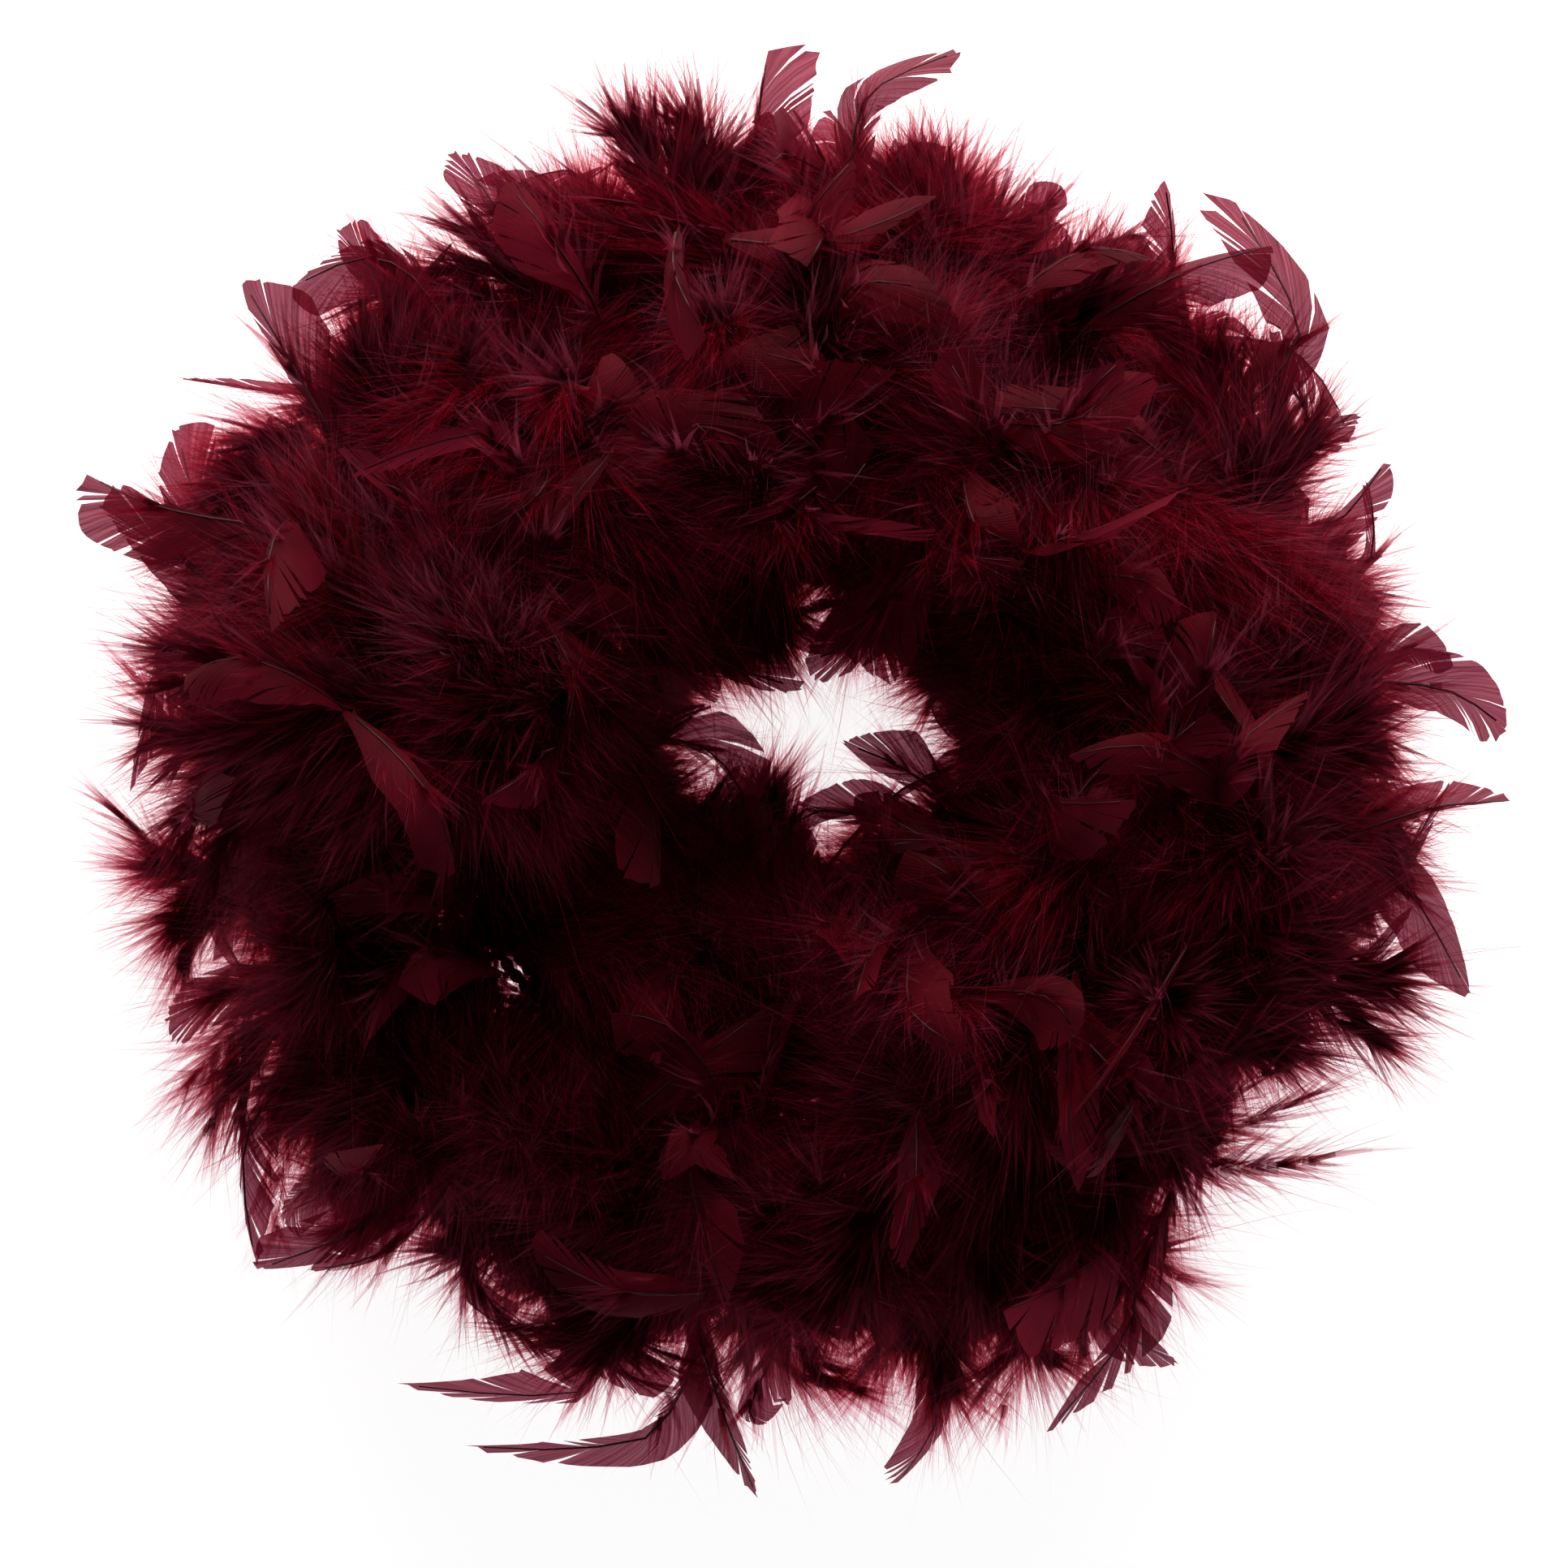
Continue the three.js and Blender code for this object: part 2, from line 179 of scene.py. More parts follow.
def new_object(name, verts, loops, sizes, slots=None, materials=(), uvs=None):
    """A mesh object from arrays: corners of all the faces in one row, and how many each face has."""
    mesh = bpy.data.meshes.new(name)
    mesh.vertices.add(len(verts))
    mesh.vertices.foreach_set("co", np.asarray(verts, np.float32).ravel())
    mesh.loops.add(len(loops))
    mesh.loops.foreach_set("vertex_index", np.asarray(loops, np.int32))
    mesh.polygons.add(len(sizes))
    starts = np.concatenate([[0], np.cumsum(sizes)[:-1]]).astype(np.int32)
    mesh.polygons.foreach_set("loop_start", starts)
    for material in materials:
        mesh.materials.append(material)
    if slots is not None:
        mesh.polygons.foreach_set("material_index", np.asarray(slots, np.int32))
    if uvs is not None:
        layer = mesh.uv_layers.new(name="feather_map")
        layer.data.foreach_set("uv", np.asarray(uvs, np.float32).ravel())
    mesh.update(calc_edges=True)
    mesh.validate()
    piece = bpy.data.objects.new(name, mesh)
    bpy.context.collection.objects.link(piece)
    return piece


class Growth:
    """Collects copies of the modelled strips, and makes one mesh of them."""

    def __init__(self):
        self.verts, self.loops, self.sizes, self.slots, self.uvs = [], [], [], [], []
        self.count = 0

    def add(self, places, strip, slots, uvs=None):
        """places is (copies, corners of the strip, 3), and slots is (copies, faces of the strip)."""
        copies, corners = places.shape[:2]
        start = self.count + np.arange(copies)[:, None] * corners
        self.verts.append(places.reshape(-1, 3))
        self.loops.append((start + strip.loops).ravel())
        self.sizes.append(np.tile(strip.sizes, copies))
        self.slots.append(np.broadcast_to(slots, (copies, len(strip.sizes))).ravel())
        if uvs is None:
            uvs = np.zeros((copies, corners, 2))
        self.uvs.append(uvs[:, strip.loops].reshape(-1, 2))
        self.count += copies * corners

    def piece(self, name, materials):
        return new_object(
            name,
            pressed_in(np.concatenate(self.verts)),
            np.concatenate(self.loops),
            np.concatenate(self.sizes),
            np.concatenate(self.slots),
            materials,
            np.concatenate(self.uvs),
        )


FLOOR_CLEARANCE = 0.3 * MM
OVERHANG = 16 * MM  # how far barbs may stand out past the CAD's box
TOP_OVERHANG = 12.8 * MM
GIVE = 14 * MM  # they bend back over the last stretch of it


def pressed_in(verts):
    """Bends the outermost barbs back, so that they lie on the table and stay near the CAD's box."""
    low = np.array(cad_low) - OVERHANG + GIVE
    high = np.array(cad_high) + (OVERHANG, OVERHANG, TOP_OVERHANG) - GIVE
    over, under = np.maximum(verts - high, 0), np.maximum(low - verts, 0)
    verts = verts + (GIVE * np.tanh(over / GIVE) - over) - (GIVE * np.tanh(under / GIVE) - under)
    verts[:, 2] = np.maximum(verts[:, 2], FLOOR_CLEARANCE)
    return verts


# ---- Colours and materials -------------------------------------------------------------------------


def linear(hex_colour):
    """A linear colour from an sRGB hex value."""
    channels = [int(hex_colour[i : i + 2], 16) / 255 for i in (1, 3, 5)]
    return (*[c / 12.92 if c <= 0.04045 else ((c + 0.055) / 1.055) ** 2.4 for c in channels], 1)


def node(tree, kind, links=(), **settings):
    """Adds a node, sets its attributes, or its inputs by name, and links sockets into it."""
    made = tree.nodes.new(kind)
    for name, value in settings.items():
        plain = name.replace("_", " ")
        if hasattr(made, name):
            setattr(made, name, value)
        else:
            made.inputs[plain if plain in made.inputs else plain.title()].default_value = value
    for name, socket in dict(links).items():
        tree.links.new(socket, made.inputs[name])
    return made


def new_material(name):
    material = bpy.data.materials.new(name)
    material.use_nodes = True
    material.node_tree.nodes.clear()
    return material, material.node_tree


def show(tree, shader):
    node(tree, "ShaderNodeOutputMaterial", {"Surface": shader})


def turkey_down(name, colour, cover, through):
    """Dyed turkey down: it scatters light softly, has a faint bloom at grazing angles and no gloss.
    Cover is how much of a barb's width its barbules hide, and through is how much light goes through
    them and takes their colour. Its dullness drifts in 12 mm patches."""
    material, tree = new_material(name)
    places = node(tree, "ShaderNodeTexCoord")
    dye = node(tree, "ShaderNodeTexNoise", {"Vector": places.outputs["Object"]}, Scale=80, Detail=2)
    dull = node(tree, "ShaderNodeMapRange", {"Value": dye.outputs["Fac"]}, To_Min=0.78, To_Max=1.0)
    fluff = node(
        tree,
        "ShaderNodeBsdfPrincipled",
        {"Roughness": dull.outputs["Result"]},
        Base_Color=linear(colour),
        IOR=1.0,
        Transmission_Weight=through,
        Sheen_Weight=0.12,
        Sheen_Roughness=0.6,
        Sheen_Tint=linear("#b02840"),
        Alpha=cover,
    )
    show(tree, fluff.outputs["BSDF"])
    return material


FEATHER_MAP_SCALE = 10  # a feather's own map counts its lengths in tenths of a metre
BARB_LINES = 1.1 * MM  # real barbs are 0.4 mm apart, too fine to show


def turkey_vane():
    """Dyed turkey flat: barbs zipped into a smooth vane. It gives a soft sheen along its barbs, fine
    slanting lines, dye that is deeper by the quill and drifts over 36 mm, and streaks 1.2 mm wide and
    17 mm long where its barbs lie closer or have gaps. It lets some light through."""
    material, tree = new_material("dyed_turkey_flat_vane")
    own_map = node(tree, "ShaderNodeUVMap", uv_map="feather_map")
    split = node(tree, "ShaderNodeSeparateXYZ", {"Vector": own_map.outputs["UV"]})
    lines = node(
        tree,
        "ShaderNodeTexWave",
        {"Vector": own_map.outputs["UV"]},
        bands_direction="X",
        Scale=2 * math.pi / 20 / (BARB_LINES * FEATHER_MAP_SCALE),
        Distortion=1.5,
        Detail=1,
        Detail_Scale=3,
    )
    drawn_out = node(tree, "ShaderNodeMapping", {"Vector": own_map.outputs["UV"]}, Scale=(85, 6, 1))
    streaks = node(
        tree, "ShaderNodeTexNoise", {"Vector": drawn_out.outputs["Vector"]}, Scale=1, Detail=3
    )
    streaked = node(
        tree,
        "ShaderNodeMapRange",
        {"Value": streaks.outputs["Fac"]},
        From_Min=0.3,
        From_Max=0.7,
        To_Min=0.54,
        To_Max=1.25,
    )
    places = node(tree, "ShaderNodeTexCoord")
    patches = node(
        tree, "ShaderNodeTexNoise", {"Vector": places.outputs["Object"]}, Scale=28, Detail=2
    )
    dyed = node(tree, "ShaderNodeValToRGB", {"Fac": patches.outputs["Fac"]})
    dyed.color_ramp.elements[0].position, dyed.color_ramp.elements[0].color = 0.35, linear("#620c1e")
    dyed.color_ramp.elements[1].position, dyed.color_ramp.elements[1].color = 0.68, linear("#9a1a32")
    by_quill = node(
        tree, "ShaderNodeMapRange", {"Value": split.outputs["Y"]}, From_Max=0.14, To_Min=0.62, To_Max=1
    )
    # Each of these darkens the colour so far by its share. 0, 6, 7 and 2 are a colour mix's factor, its
    # two colours and its result.
    lined = dyed.outputs["Color"]
    for darker, share in (
        (by_quill.outputs["Result"], 0.7),
        (streaked.outputs["Result"], 0.8),
        (lines.outputs["Color"], 0.22),
    ):
        mixed = node(
            tree, "ShaderNodeMix", {6: lined, 7: darker}, data_type="RGBA", blend_type="MULTIPLY"
        )
        mixed.inputs[0].default_value = share
        lined = mixed.outputs[2]
    raised = node(
        tree, "ShaderNodeBump", {"Height": lines.outputs["Color"]}, Strength=0.25, Distance=0.2 * MM
    )
    face = node(
        tree,
        "ShaderNodeBsdfPrincipled",
        {"Base Color": lined, "Normal": raised.outputs["Normal"]},
        Roughness=0.52,
        Specular_IOR_Level=0.08,
        Sheen_Weight=0.04,
        Sheen_Roughness=0.4,
        Sheen_Tint=linear("#a03048"),
    )
    lit_through = node(tree, "ShaderNodeMix", {6: lined}, data_type="RGBA")
    lit_through.inputs[0].default_value = 0.35
    lit_through.inputs[7].default_value = linear("#b43454")
    through = node(
        tree,
        "ShaderNodeBsdfTranslucent",
        {"Color": lit_through.outputs[2], "Normal": raised.outputs["Normal"]},
    )
    both = node(tree, "ShaderNodeMixShader", {1: face.outputs["BSDF"], 2: through.outputs["BSDF"]})
    both.inputs[0].default_value = 0.42
    between = node(tree, "ShaderNodeBsdfTransparent", Color=linear("#d88298"))
    gaps = node(
        tree,
        "ShaderNodeMapRange",
        {"Value": streaks.outputs["Fac"]},
        From_Min=0.35,
        From_Max=0.75,
        To_Min=0.08,
        To_Max=0.42,
    )
    loose = node(
        tree,
        "ShaderNodeMixShader",
        {0: gaps.outputs["Result"], 1: both.outputs["Shader"], 2: between.outputs["BSDF"]},
    )
    show(tree, loose.outputs["Shader"])
    return material


def quill_keratin():
    """Dyed quill: smooth horn, darker than the vane, with a narrow highlight along it. Its dye drifts
    over 7 mm."""
    material, tree = new_material("dyed_quill_keratin")
    places = node(tree, "ShaderNodeTexCoord")
    grain = node(tree, "ShaderNodeTexNoise", {"Vector": places.outputs["Object"]}, Scale=150, Detail=2)
    dyed = node(tree, "ShaderNodeValToRGB", {"Fac": grain.outputs["Fac"]})
    dyed.color_ramp.elements[0].color = linear("#24060c")
    dyed.color_ramp.elements[1].color = linear("#5c1420")
    horn = node(
        tree, "ShaderNodeBsdfPrincipled", {"Base Color": dyed.outputs["Color"]}, Roughness=0.45, IOR=1.4
    )
    show(tree, horn.outputs["BSDF"])
    return material


def spun_cotton(name, dark, light, fibre):
    """Dyed spun cotton: matt, with fibres a fraction of a millimetre apart that run round the ply."""
    material, tree = new_material(name)
    places = node(tree, "ShaderNodeTexCoord")
    fibres = node(
        tree,
        "ShaderNodeTexNoise",
        {"Vector": places.outputs["Object"]},
        Scale=1 / fibre,
        Detail=3,
        Roughness=0.7,
    )
    dyed = node(tree, "ShaderNodeValToRGB", {"Fac": fibres.outputs["Fac"]})
    dyed.color_ramp.elements[0].position, dyed.color_ramp.elements[0].color = 0.3, linear(dark)
    dyed.color_ramp.elements[1].position, dyed.color_ramp.elements[1].color = 0.7, linear(light)
    raised = node(
        tree, "ShaderNodeBump", {"Height": fibres.outputs["Fac"]}, Strength=0.6, Distance=0.2 * MM
    )
    yarn = node(
        tree,
        "ShaderNodeBsdfPrincipled",
        {"Base Color": dyed.outputs["Color"], "Normal": raised.outputs["Normal"]},
        Roughness=0.85,
        Specular_IOR_Level=0.3,
        Sheen_Weight=0.3,
        Sheen_Roughness=0.5,
    )
    show(tree, yarn.outputs["BSDF"])
    return material


# From a barb's foot to its thin tip: painted shade at the foot, inside the plumage, and painted glow
# towards the tip, where light comes through it and the tip takes less dye. A step's name, its colour,
# and how much of a barb's width its barbules hide. Bare barbs come first, then those with barbules,
# which let more light by.
PAINTED_LIGHT_STEPS = (
    ("painted_shade", "#560818", 0.84),
    ("body", "#8e1028", 0.58),
    ("painted_glow", "#b41c38", 0.4),
    ("tip", "#cc4060", 0.23),
)
BARE_THROUGH, FLUFFY_THROUGH = 0.6, 0.8
DOWN = []
for shade, colour, _ in PAINTED_LIGHT_STEPS:
    DOWN.append(turkey_down(f"dyed_turkey_down_barb_{shade}", colour, 1, BARE_THROUGH))
for shade, colour, cover in PAINTED_LIGHT_STEPS:
    DOWN.append(turkey_down(f"dyed_turkey_down_barbules_{shade}", colour, cover, FLUFFY_THROUGH))
VANE = turkey_vane()
QUILL = quill_keratin()
CORD_COTTON = spun_cotton("dyed_cotton_ply", "#220509", "#5a1520", 0.6 * MM)
WHIPPING_THREAD = spun_cotton("waxed_whipping_thread", "#18040a", "#3c0e18", 0.3 * MM)
FEATHER_MATERIALS = [*DOWN, VANE, QUILL]
VANE_SLOT, QUILL_SLOT = len(DOWN), len(DOWN) + 1

# ---- The cord, its knots and its whippings ---------------------------------------------------------

PLY_TWIST = 9 * MM  # the cord turns once round itself in this length
PLY_RADIUS = 1.05 * MM
PLY_OFFSET = 1.0 * MM
PLY_SIDES = 6
PLY_STEP = 1.1 * MM


def two_ply_cord():
    """Two plies twisted round each other along the coil."""
    rings = int(BOA_LENGTH / PLY_STEP)
    length = np.linspace(0, BOA_LENGTH, rings)
    place, turns = along_cord(length)
    tangent = cord_direction(turns)
    first = across(np.cross(tangent, UP), tangent)
    second = np.cross(first, tangent)
    verts, loops, sizes = [], [], []
    for ply in range(2):
        twist = (2 * np.pi * length / PLY_TWIST + np.pi * ply)[:, None]
        centre = place + PLY_OFFSET * (np.cos(twist) * first + np.sin(twist) * second)
        side = np.linspace(0, 2 * np.pi, PLY_SIDES, endpoint=False)[None, :, None]
        ring = np.cos(side) * first[:, None] + np.sin(side) * second[:, None]
        verts.append((centre[:, None] + PLY_RADIUS * ring).reshape(-1, 3))
        start = ply * rings * PLY_SIDES
        ring_start = start + np.arange(rings - 1)[:, None] * PLY_SIDES
        a = (ring_start + np.arange(PLY_SIDES)).ravel()
        b = (ring_start + (np.arange(PLY_SIDES) + 1) % PLY_SIDES).ravel()
        loops.append(np.stack([a, a + PLY_SIDES, b + PLY_SIDES, b], 1).ravel())
        sizes += [4] * len(a)
        caps = [start + np.arange(PLY_SIDES), start + (rings - 1) * PLY_SIDES + np.arange(PLY_SIDES)]
        loops += [caps[0], caps[1][::-1]]
        sizes += [PLY_SIDES] * 2
    cord = new_object(
        "core_cord_plies",
        np.concatenate(verts),
        np.concatenate(loops),
        sizes,
        materials=[CORD_COTTON],
    )
    smooth_outwards(cord)
    return cord


def smooth_outwards(piece):
    """Turns a closed piece's faces outwards and smooths it."""
    deselect()
    piece.select_set(True)
    bpy.context.view_layer.objects.active = piece
    bpy.ops.object.mode_set(mode="EDIT")
    bpy.ops.mesh.select_all(action="SELECT")
    bpy.ops.mesh.normals_make_consistent(inside=False)
    bpy.ops.object.mode_set(mode="OBJECT")
    bpy.ops.object.shade_smooth()


END_STRETCH = 22 * MM  # how much of the cord gives its end a direction


def end_frame(at_start):
    """A matrix whose Z axis runs out along the cord's end, from the end's middle."""
    ends = (0.0, END_STRETCH) if at_start else (BOA_LENGTH, BOA_LENGTH - END_STRETCH)
    tip, inner = (Vector(along_cord(length)[0]) for length in ends)
    turn = (tip - inner).to_track_quat("Z", "Y").to_matrix().to_4x4()
    return Matrix.Translation(tip) @ turn


WHIPPING_TURNS = 15
WHIPPING_LENGTH = 9 * MM
WHIPPING_INSET = 6 * MM
THREAD_RADIUS = 0.32 * MM
THREAD_STEPS = 20  # in each turn


def whipping(name, at_start):
    """Thread wound tightly round the cord: a small circle, screwed up round the cord's axis."""
    deselect()
    bpy.ops.mesh.primitive_circle_add(
        vertices=8,
        radius=THREAD_RADIUS,
        location=(CORD_DIAMETER / 2 + 1.6 * THREAD_RADIUS, 0, 0),
        rotation=(math.pi / 2, 0, 0),
    )
    piece = bpy.context.active_object
    piece.name = piece.data.name = name
    bpy.ops.object.transform_apply(location=True, rotation=True, scale=True)
    wind = piece.modifiers.new("wind", "SCREW")
    wind.axis = "Z"
    wind.angle = 2 * math.pi
    wind.screw_offset = WHIPPING_LENGTH / WHIPPING_TURNS
    wind.iterations = WHIPPING_TURNS
    wind.steps = wind.render_steps = THREAD_STEPS
    bpy.ops.object.modifier_apply(modifier="wind")
    bpy.ops.object.mode_set(mode="EDIT")
    bpy.ops.mesh.select_all(action="SELECT")
    bpy.ops.mesh.remove_doubles(threshold=1e-6)
    bpy.ops.mesh.fill_holes(sides=8)
    bpy.ops.object.mode_set(mode="OBJECT")
    back = Matrix.Translation((0, 0, -WHIPPING_INSET - WHIPPING_LENGTH))
    piece.data.transform(end_frame(at_start) @ back)
    piece.data.materials.append(WHIPPING_THREAD)
    smooth_outwards(piece)
    return piece


KNOT_SIZE = 1.35 * MM  # one unit of the knot's own curve
KNOT_STRAND = 1.5 * MM
KNOT_OPENING = 0.3  # how much of the trefoil is left open, in radians, for its two ends
KNOT_POINTS = 64
KNOT_PLACE = 5 * MM  # from the cord's end to the knot's middle


def stopper_knot(name, at_start):
    """An overhand knot pulled up on the cord's end: a round strand along an open trefoil."""
    curve = bpy.data.curves.new(name, "CURVE")
    curve.dimensions = "3D"
    curve.bevel_depth = KNOT_STRAND
    curve.bevel_resolution = 3
    curve.use_fill_caps = True
    line = curve.splines.new("POLY")
    steps = np.linspace(KNOT_OPENING, 2 * np.pi - KNOT_OPENING, KNOT_POINTS)
    bulge = 2 + np.cos(3 * steps)
    knot = np.stack([bulge * np.cos(2 * steps), bulge * np.sin(2 * steps), 1.5 * np.sin(3 * steps)], 1)
    knot *= KNOT_SIZE
    knot[:, 2] += KNOT_PLACE
    line.points.add(len(knot) - 1)
    line.points.foreach_set("co", np.column_stack([knot, np.ones(len(knot))]).ravel())
    piece = bpy.data.objects.new(name, curve)
    bpy.context.collection.objects.link(piece)
    deselect()
    piece.select_set(True)
    bpy.context.view_layer.objects.active = piece
    bpy.ops.object.convert(target="MESH")
    piece = bpy.context.active_object
    piece.data.transform(end_frame(at_start))
    piece.data.materials.clear()
    piece.data.materials.append(CORD_COTTON)
    smooth_outwards(piece)
    return piece


ROUTE_POINTS = 320


def make_cord():
    cord = two_ply_cord()
    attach(cord, ROOT)
    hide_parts("core_cord")
    for end, at_start in (("inner_end", True), ("top_end", False)):
        knot = stopper_knot(f"{end}_overhand_knot", at_start)
        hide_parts(f"{end}_knot")
        thread = whipping(f"{end}_thread", at_start)
        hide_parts(f"{end}_whipping")
        for piece in (knot, thread):
            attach(piece, ROOT)
    route = along_cord(np.linspace(0, BOA_LENGTH, ROUTE_POINTS))[0]


make_cord()

# ---- The strips that feathers are made of, modelled once -------------------------------------------


class Strip:
    """A shape that is copied many times: its corners, as (across, along), and its faces."""

    def __init__(self, corners, faces):
        self.corners = corners
        self.loops = np.array([corner for face in faces for corner in face])
        self.sizes = np.array([len(face) for face in faces])


def model_strip(widths, pointed):
    """A flat strip along +Y, extruded edge by edge, as wide as widths say, that may end in a point."""
    deselect()
    bpy.ops.mesh.primitive_plane_add(size=1, location=(0, 0, 0))
    piece = bpy.context.active_object
    segments = len(widths) - 1 + pointed
    for vertex in piece.data.vertices:
        far = vertex.co.y > 0
        vertex.co.x *= widths[1] if far else widths[0]
        vertex.co.y = 1 / segments if far else 0
    bpy.ops.object.mode_set(mode="EDIT")
    for before, width in zip(widths[1:], [*widths[2:], widths[-1]][: segments - 1]):
        bpy.ops.mesh.select_all(action="DESELECT")
        bpy.ops.object.mode_set(mode="OBJECT")
        top = max(v.co.y for v in piece.data.vertices)
        for edge in piece.data.edges:
            edge.select = all(piece.data.vertices[i].co.y > top - 1e-4 for i in edge.vertices)
        bpy.ops.object.mode_set(mode="EDIT")
        bpy.ops.mesh.extrude_region_move(TRANSFORM_OT_translate={"value": (0, 1 / segments, 0)})
        bpy.ops.transform.resize(value=(width / before, 1, 1), center_override=(0, 0, 0))
    if pointed:
        bpy.ops.mesh.merge(type="CENTER")
    bpy.ops.mesh.select_all(action="SELECT")
    bpy.ops.mesh.normals_make_consistent(inside=False)
    bpy.ops.object.mode_set(mode="OBJECT")
    if piece.data.polygons[0].normal.z < 0:
        piece.data.flip_normals()
    corners = np.array([vertex.co[:2] for vertex in piece.data.vertices])
    faces = [polygon.vertices[:] for polygon in piece.data.polygons]
    faces.sort(key=lambda face: sum(corners[list(face), 1]) / len(face))
    bpy.data.meshes.remove(piece.data)
    return Strip(corners, faces)


DOWN_BARB = model_strip([1, 0.85, 0.45], pointed=True)
VANE_BARBS = model_strip([1, 1, 1, 1], pointed=False)

# ---- Down ------------------------------------------------------------------------------------------

LOCK = 4  # barbs that cling together in one lock
LOCK_SPREAD = 0.02  # the share of a quill over which they are spread
DOWN_LENGTH = 21 * MM
BARBULE_WIDTH = 2.2 * MM  # a barb with its barbules
BARB_WIDTH = 0.2 * MM  # a bare one
BARE_SHARE = 0.42
BARE_REACH = 1.25
STRAY_SHARE = 0.12  # of the bare barbs
STRAY_REACH = (1.4, 1.9)
SPLAY, TIP_SPLAY = 58, 16  # degrees between barb and quill, at the first barbs and at the tip
FORWARD_BEND, BARB_SAG = 0.35, 0.1


def bezier(t, a, b, c):
    return a * (1 - t) ** 2 + b * 2 * t * (1 - t) + c * t**2


def bezier_along(t, a, b, c):
    return unit((b - a) * (1 - t) + (c - b) * t)


def grow_down(
    growth, rng, foot, middle, tip, face, tones, barbs, first=0.35, length=DOWN_LENGTH, flat=0.35
):
    """Downy barbs on both sides of each quill, a curve from foot by middle to tip. face is the side
    that the feather shows, tones makes it lighter or darker, first is the share of the quill that is
    bare, and flat is how far its barbs leave one plane."""
    count, locks = len(foot), barbs // LOCK

    def for_locks(spread):
        """A random number for each lock, the same for all its barbs."""
        return np.repeat(rng.normal(0, spread, (count, locks, 1)), LOCK, 1)

    t = np.linspace(first, 1, locks)[None, :, None] + rng.normal(0, LOCK_SPREAD, (count, locks, 1))
    t = t + np.linspace(-LOCK_SPREAD, LOCK_SPREAD, LOCK)[None, None, :]
    t = np.clip(t, LOCK_SPREAD, 1).reshape(count, -1, 1)
    a, b, c, face = (v[:, None] for v in (foot, middle, tip, face))
    start = bezier(t, a, b, c)
    along = bezier_along(t, a, b, c)
    side = across(np.cross(along, face), along)
    over = np.cross(side, along)

    # Where each barb heads, how long it is, and how it bends.
    hand = np.where(np.arange(locks) % 2, 1, -1)[None, :, None]
    roll = np.repeat(np.broadcast_to(hand * np.pi / 2, (count, locks, 1)), LOCK, 1) + for_locks(flat)
    grown = (t - first) / (1 - first)
    splay = np.radians(SPLAY - (SPLAY - TIP_SPLAY) * grown) + for_locks(0.12)
    splay = splay + rng.normal(0, 0.06, t.shape)
    outward = np.cos(roll) * over + np.sin(roll) * side
    ahead = along * np.cos(splay) + outward * np.sin(splay)
    swell = 0.6 + 0.4 * np.sin(np.pi * np.clip(0.1 + 0.8 * grown, 0, 1))
    reach = length * swell * (1 + for_locks(0.14)) * rng.uniform(0.85, 1.12, t.shape)
    drift = np.concatenate([for_locks(0.12) for _ in range(3)], -1)
    bend = FORWARD_BEND * along + drift + rng.normal(0, 0.17, drift.shape) - BARB_SAG * UP

    bare = rng.random(t.shape) < BARE_SHARE
    stray = bare & (rng.random(t.shape) < STRAY_SHARE)
    width = np.where(bare, BARB_WIDTH, BARBULE_WIDTH * rng.uniform(0.7, 1.2, t.shape))
    reach = reach * np.where(stray, rng.uniform(*STRAY_REACH, t.shape), np.where(bare, BARE_REACH, 1))
    shown = unit(face + rng.normal(0, 0.35, start.shape))

    # The modelled barb, laid along each of these curves.
    x, q = (DOWN_BARB.corners[:, axis][None, None, :, None] for axis in (0, 1))
    line = start[:, :, None] + reach[:, :, None] * (q * ahead[:, :, None] + q**2 * bend[:, :, None])
    heading = unit(ahead[:, :, None] + 2 * q * bend[:, :, None])
    sideways = across(np.cross(heading, shown[:, :, None]), heading)
    places = line + x * width[:, :, None] * sideways
    # A barb's faces run through the steps from foot to tip, painted shade at the foot and painted glow
    # at the tip, moved by the feather's tone and a random step.
    lighter = rng.integers(0, 2, (count, locks * LOCK, 1))
    shade = np.arange(len(DOWN_BARB.sizes))[None, None] + tones[:, None, None] + lighter
    slots = np.clip(shade, 0, len(PAINTED_LIGHT_STEPS) - 1) + np.where(bare, 0, len(PAINTED_LIGHT_STEPS))
    growth.add(places.reshape(-1, len(DOWN_BARB.corners), 3), DOWN_BARB, slots.reshape(-1, 3))


# ---- Flat feathers ---------------------------------------------------------------------------------

VANE_ROWS = 22  # bundles of barbs on each side of a quill
BARB_SWEEP = 2.5  # how far a barb runs along the quill for each unit that it runs out
FULLER = 0.7  # how much a feather with one side stripped is wider on the other
SPLITS, TIP_SPLITS = 0.08, 0.4  # the share of bundles that part, at a vane's foot and tip
PARTING = (0.15, 0.75)  # how far they part, as a share of a bundle's width
KINK = (0.09, 0.42)  # 0 is a smooth curve, and 1 is two straight lines
CURL_RISE = 14 * MM
QUILL_SIDES = 4
QUILL_RINGS = 12
QUILL_THICK, QUILL_THIN = 0.8 * MM, 0.2 * MM  # from its middle to a corner, at its foot and tip
FOOT_BARBS = 40
FOOT_LENGTH = 19 * MM


